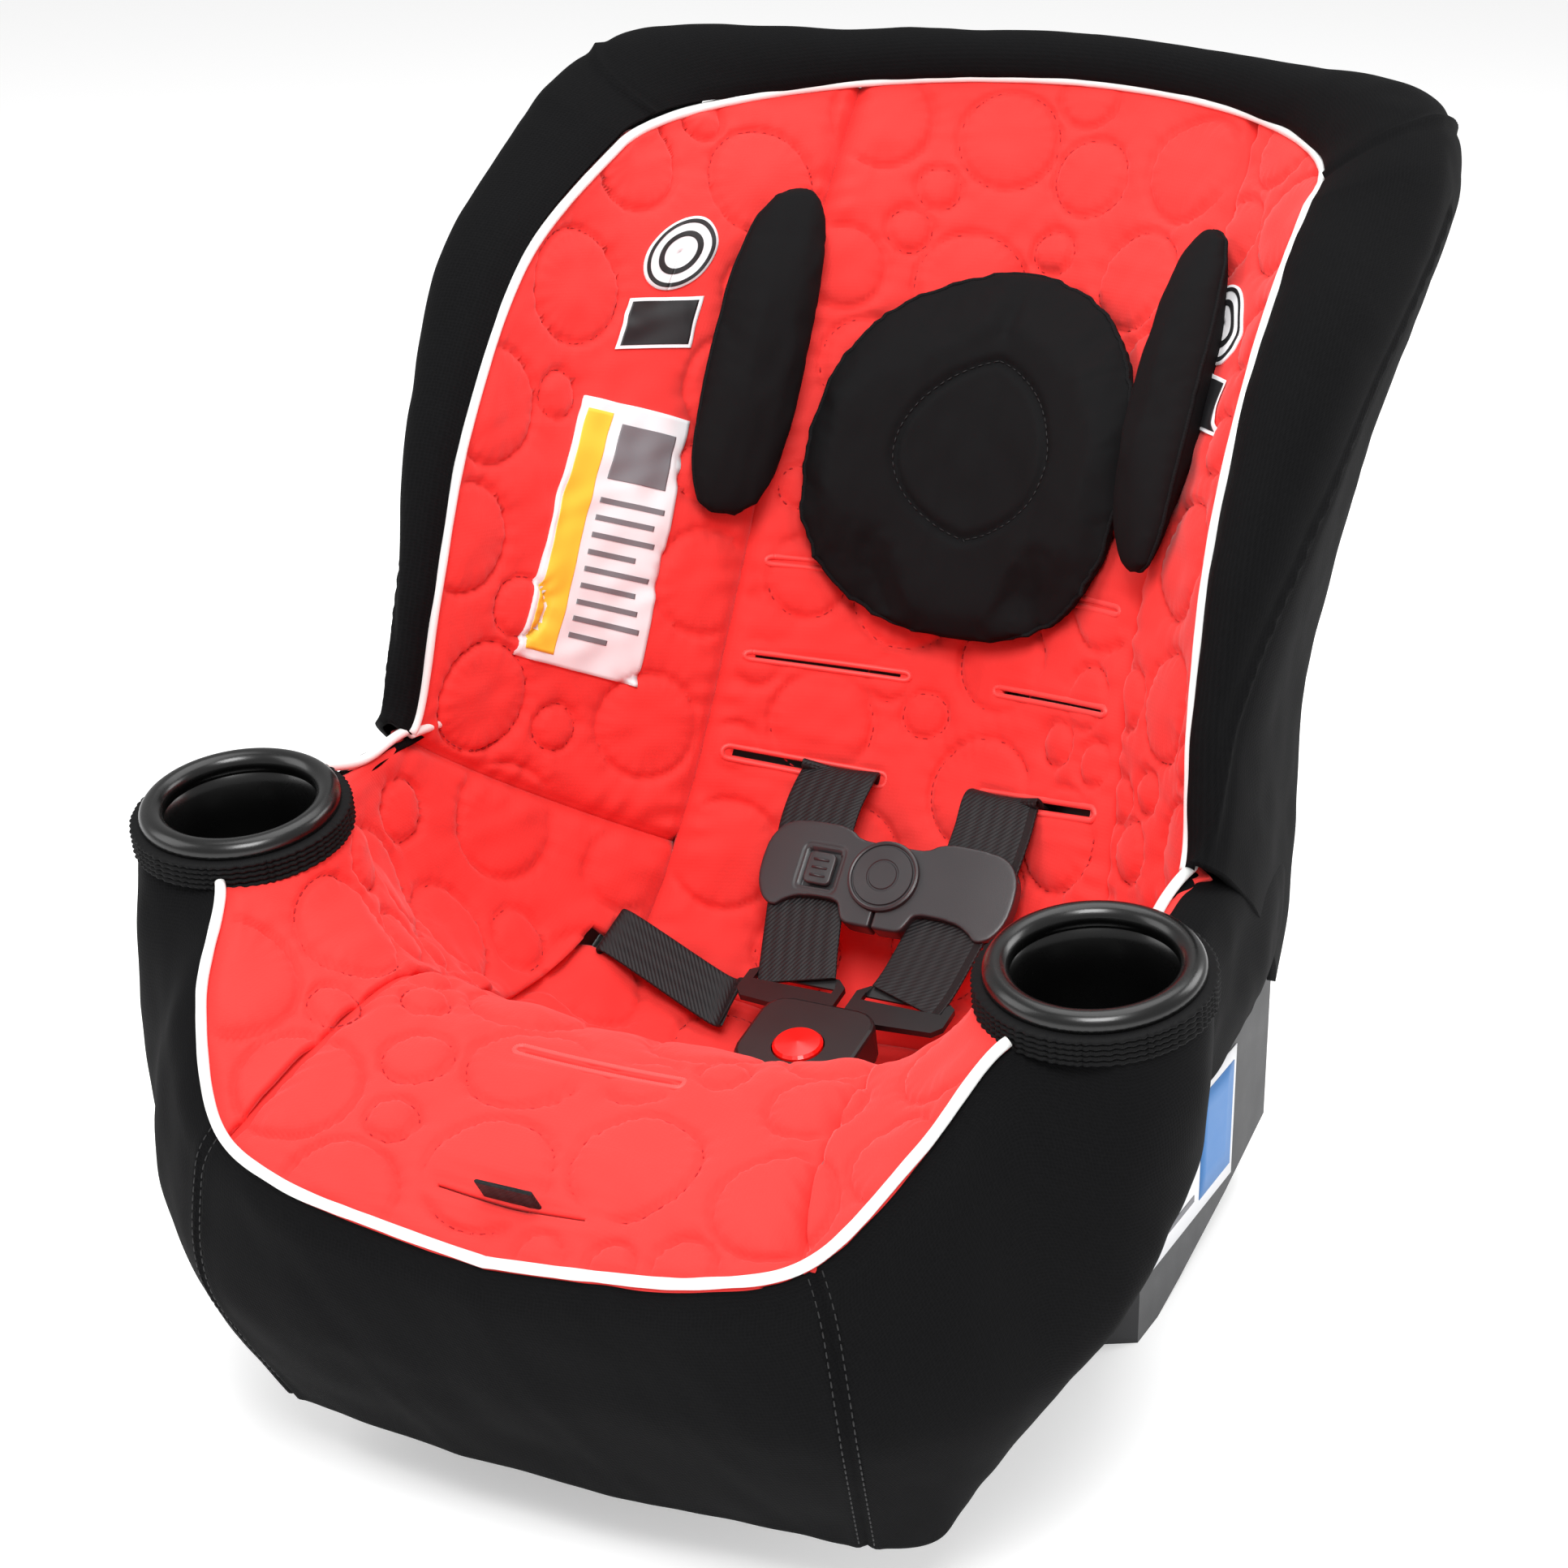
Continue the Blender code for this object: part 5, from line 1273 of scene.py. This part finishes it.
def base_sticker():
    """A plain white sticker with blank blue and grey blocks on the base's right side."""
    (y_low, z_low), (y_high, z_high) = BASE_STICKER

    def block(name, left, right, low, high, mat, lift):
        y, z = np.meshgrid(y_low + (y_high - y_low) * np.linspace(left, right, 6),
                           z_low + (z_high - z_low) * np.linspace(low, high, 6))
        points = np.stack((np.full_like(y, BASE_SIDE_X + lift), y, z), axis=-1)
        normals = np.zeros_like(points)
        normals[..., 0] = 1.0
        rides(cloth_sheet(name, points, normals, 0.0003, mat), "frame", "base")

    block("base_sticker_back", 0.0, 1.0, 0.0, 1.0, MAT["white"], 0.0006)
    block("base_sticker_blue", 0.62, 0.97, 0.10, 0.90, MAT["blue"], 0.0009)
    for n in range(5):
        low = 0.14 + 0.16 * n
        end = (0.56, 0.50, 0.54, 0.42, 0.52)[n]
        block(f"base_sticker_line_{n + 1}", 0.06, end, low, low + 0.05, MAT["grey"], 0.0009)


def disc_patch(name, v, s, centre, inner_r, outer_r, mat, lift):
    """A flat ring, or a disc, sewn on the liner; centre is its offset along v and s in metres."""
    dv = np.linalg.norm(lined(v + 0.01, s) - lined(v - 0.01, s)) / 0.02
    ds = np.linalg.norm(lined(v, s + 0.01) - lined(v, s - 0.01)) / 0.02
    turn = np.linspace(0, math.tau, 73)[:, None]
    radius = np.linspace(inner_r, outer_r, 8)[None, :]
    vv = v + (centre[0] + radius * np.cos(turn)) / dv
    ss = s + (centre[1] + radius * np.sin(turn)) / ds
    points = lined(vv, ss)
    normals = lined_normal(vv, ss)
    points = points + normals * (lift + quilt_height(points))[..., None]
    made = cloth_sheet(name, points, normals, 0.0012, mat)
    return rides(made, "frame", "liner")


def badges():
    """A plain round badge and a blank plate on each wing: rings and blocks only."""
    for side, v, s in BADGES:
        at = (v, s, (0, 0))
        disc_patch(f"badge_{side}_back", *at, 0.0002, 0.0195, MAT["white"], 0.0010)
        disc_patch(f"badge_{side}_ring", *at, 0.0160, 0.0181, MAT["black"], 0.0013)
        disc_patch(f"badge_{side}_inner", *at, 0.0086, 0.0116, MAT["black"], 0.0013)
        plate = [(v + dv, s + ds) for dv, ds in PLATE_CORNERS]
        surface_patch(f"badge_{side}_plate", plate, MAT["white"], 0.0010)
        middle = inner(plate, 0.05, 0.95, 0.07, 0.93)
        surface_patch(f"badge_{side}_plate_middle", middle, MAT["black"], 0.0013)


def slot_shade_sheets():
    """Black sheets behind the liner's slots, so that they look into a closed back: painted shade for the dark
    inside the slots.
    """
    for number, (v, _) in enumerate(SLOT_ROWS):
        for side, (low, high) in (("right", SLOT_S), ("left", (-SLOT_S[1], -SLOT_S[0]))):
            vv = np.linspace(v - 0.10, v + 0.10, 8)[:, None]
            ss = np.linspace(low - 0.03, high + 0.03, 20)[None, :]
            points = bucket(vv, ss)
            normals = bucket_normal(*np.broadcast_arrays(vv, ss))
            # a black sheet standing in for the shade inside the slot: painted shade
            made = cloth_sheet(f"slot_shade_sheet_{number + 1}_{side}", points - normals * 0.0085, normals, 0.0005,
                               MAT["black"])
            rides(made, "frame", "liner")


# ---------------------------------------------------------------- chest clip

CLIP_OUTLINE = ((0.0006, 0.0165), (0.0100, 0.0162), (0.0175, 0.0172), (0.0220, 0.0200), (0.0300, 0.0218),
                (0.0480, 0.0214), (0.0570, 0.0185), (0.0625, 0.0110), (0.0640, 0.0000), (0.0625, -0.0110),
                (0.0580, -0.0190), (0.0515, -0.0222), (0.0470, -0.0190), (0.0400, -0.0158), (0.0280, -0.0148),
                (0.0200, -0.0158), (0.0175, -0.0200), (0.0150, -0.0240), (0.0110, -0.0252), (0.0006, -0.0255))
CLIP_FRONT, CLIP_REAR = 0.0074, -0.0046
CLIP_BUTTON_X = -0.0330


def modified(made, kind, **settings):
    """Applies one modifier."""
    modifier = made.modifiers.new(kind, kind)
    for key, value in settings.items():
        setattr(modifier, key, value)
    apply_all(made)
    return made


def prism(name, outline, low, high, mat):
    """A solid with a given outline between two heights."""
    count = len(outline)
    verts = [(x, y, low) for x, y in outline] + [(x, y, high) for x, y in outline]
    faces = [list(range(count))[::-1], list(range(count, 2 * count))]
    faces += [(k, (k + 1) % count, count + (k + 1) % count, count + k) for k in range(count)]
    made = mesh_object(name, verts, faces, mat)
    tidy_normals(made)
    return made


def carve(made, tool):
    """Cuts a tool out of a solid."""
    modified(made, "BOOLEAN", object=tool, operation="DIFFERENCE", solver="EXACT")
    bpy.data.objects.remove(tool)


def rounded_box(width, height, radius, centre=(0, 0)):
    """A rectangle with round corners."""
    turn = np.linspace(0, math.pi / 2, 7)
    out = []
    for k, (sx, sy) in enumerate(((1, 1), (-1, 1), (-1, -1), (1, -1))):
        cx, cy = centre[0] + sx * (width / 2 - radius), centre[1] + sy * (height / 2 - radius)
        angles = [a + k * math.pi / 2 for a in turn]
        out += [(cx + radius * math.cos(a), cy + radius * math.sin(a)) for a in angles]
    return out


def chest_clip():
    """The clip's two moulded halves, its button and its plain disc."""
    place = frame_at(CLIP_AT, (1, 0, 0), CLIP_UP)
    flat = np.array([(x, y, 0) for x, y in CLIP_OUTLINE])
    curve = spline(flat, np.linspace(0, len(flat) - 1, 120))[:, :2]
    for side, sign in SIDES:
        half = prism("chest_clip_" + side, curve * (sign, 1), CLIP_REAR, CLIP_FRONT, MAT["clip"])
        web = prism("clip_web_tool", rounded_box(0.0396, 0.0900, 0.001), -0.0016, 0.0016, MAT["clip"])
        web.data.transform(Matrix.Translation((sign * 0.0397, 0, 0)) @ Matrix.Rotation(-sign * 0.176, 4, "Z"))
        carve(half, web)
        modified(half, "REMESH", mode="VOXEL", voxel_size=0.0008)
        modified(half, "SMOOTH", iterations=9, factor=0.5)
        co = points_of(half)
        front = np.clip((co[:, 2] - 0.0018) / (CLIP_FRONT - 0.0018), 0, 1)
        co[:, 2] -= front * 0.0030 * (np.abs(co[:, 0]) / 0.064) ** 2.2
        if sign < 0:
            x, y = np.abs(co[:, 0] - CLIP_BUTTON_X), np.abs(co[:, 1] + 0.001)
            gap = np.maximum(x - 0.0060, 0) ** 3 + np.maximum(y - 0.0070, 0) ** 3
            away = gap ** (1 / 3)
            step_down = 0.0034 * (away < 0.0027) + 0.0006 * np.exp(-((away - 0.0042) / 0.0008) ** 2)
            co[:, 2] -= front * step_down
        half.data.vertices.foreach_set("co", co.astype(np.float32).ravel())
        half.data.update()
        half.data.transform(place)
        half.data.shade_smooth()
        body = "clip_left" if sign < 0 else "chest_clip"
        rides(half, body, "clip", "clip_half_" + side)
    disc = [(0, 0.0060), (0.0172, 0.0060), (0.0176, 0.0082), (0.0172, 0.0094), (0.0163, 0.0098),
            (0.0156, 0.0095), (0.0153, 0.0088), (0.0147, 0.0088), (0.0143, 0.0096), (0.0080, 0.0100),
            (0.0076, 0.0096), (0.0070, 0.0096), (0.0066, 0.0101), (0, 0.0103)]
    rides(turned("chest_clip_disc", disc, MAT["clip"], 96, place), "chest_clip", "clip", "clip_disc")
    outline = rounded_box(0.0140, 0.0160, 0.0030, (CLIP_BUTTON_X, -0.001))
    button = prism("chest_clip_button", outline, 0.0046, 0.0072, MAT["clip"])
    modified(button, "BEVEL", width=0.0009, segments=3, limit_method="ANGLE", angle_limit=0.8)
    button.data.shade_smooth()
    button.data.set_sharp_from_angle(angle=math.radians(50))
    button.data.transform(place)
    rides(button, "clip_button", "clip", "clip_button")
    for n in range(3):
        outline = rounded_box(0.0080, 0.0012, 0.0005, (CLIP_BUTTON_X, 0.0030 - 0.0040 * n))
        bar = prism(f"chest_clip_bar_{n + 1}", outline, 0.0070, 0.0076, MAT["clip"])
        bar.data.transform(place)
        rides(bar, "clip_button", "clip")


def dress_nodes():
    """Materials of the CAD nodes that stay as they are."""
    slots = {row["node"]: row["material_slot"] for row in frame["record"]["subparts"]}
    for name, node in NODES.items():
        node.data.materials.clear()
        node.data.materials.append(MAT["buckle" if name.startswith("tongue") else slots[name]])
        node.data.shade_smooth()
        node.data.set_sharp_from_angle(angle=math.radians(35))


# ---------------------------------------------------------------- stage

def white_floor():
    """A pale studio floor that stays light into the distance."""
    made = Finish("floor_white", (0.86, 0.86, 0.86, 1), 0.9, specular=0.1)
    made.shader.inputs["Emission Color"].default_value = (1, 1, 1, 1)
    made.shader.inputs["Emission Strength"].default_value = 0.38
    return made.material


def stage():
    """A pale floor, soft studio light, and the camera."""
    size = 14.0
    floor = mesh_object("floor", [(-size, -size, 0), (size, -size, 0), (size, size, 0), (-size, size, 0)],
                        [(0, 1, 2, 3)], white_floor(), smooth=False)
    world = bpy.data.worlds.new("studio")
    world.use_nodes = True
    world.node_tree.nodes["Background"].inputs["Color"].default_value = (1, 1, 1, 1)
    world.node_tree.nodes["Background"].inputs["Strength"].default_value = 0.50
    bpy.context.scene.world = world
    for name, spot, aim, size, power in (
            ("key", (0.7, -1.6, 2.3), (0, 0, 0.2), 1.1, 56),
            ("fill", (-1.9, -1.1, 1.5), (0, 0, 0.25), 1.6, 20),
            ("top", (0.0, 0.4, 2.6), (0, 0, 0.2), 2.0, 30),
            ("rim", (1.6, 1.5, 1.6), (0, 0.1, 0.3), 1.2, 22)):
        light = bpy.data.lights.new(name, "AREA")
        light.energy = power
        light.size = size
        lamp = bpy.data.objects.new(name, light)
        lamp.location = spot
        lamp.rotation_euler = (Vector(aim) - Vector(spot)).to_track_quat("-Z", "Y").to_euler()
        bpy.context.scene.collection.objects.link(lamp)
    camera = bpy.data.cameras.new("camera")
    camera.lens = 82.05
    camera.sensor_width = 36.0
    camera.clip_end = 100
    view = bpy.data.objects.new("camera", camera)
    right = Vector((0.90027, 0.43534, 0.0))
    up = Vector((-0.15745, 0.32560, 0.93231))
    back = right.cross(up)
    turn = Matrix((right, up, back)).transposed().to_4x4()
    turn.translation = Vector((0.6256, -1.3139, 0.8226))
    view.matrix_world = turn
    bpy.context.scene.collection.objects.link(view)
    bpy.context.scene.camera = view
    bpy.context.scene.view_settings.view_transform = "Standard"
    bpy.context.scene.view_settings.look = "None"


stage()
dress_nodes()
liner()
covers()
piping()
arm_piping()
pillow()
webs()
chest_clip()
cups()
patches()
base_sticker()
badges()
slot_shade_sheets()
seam_tapes()
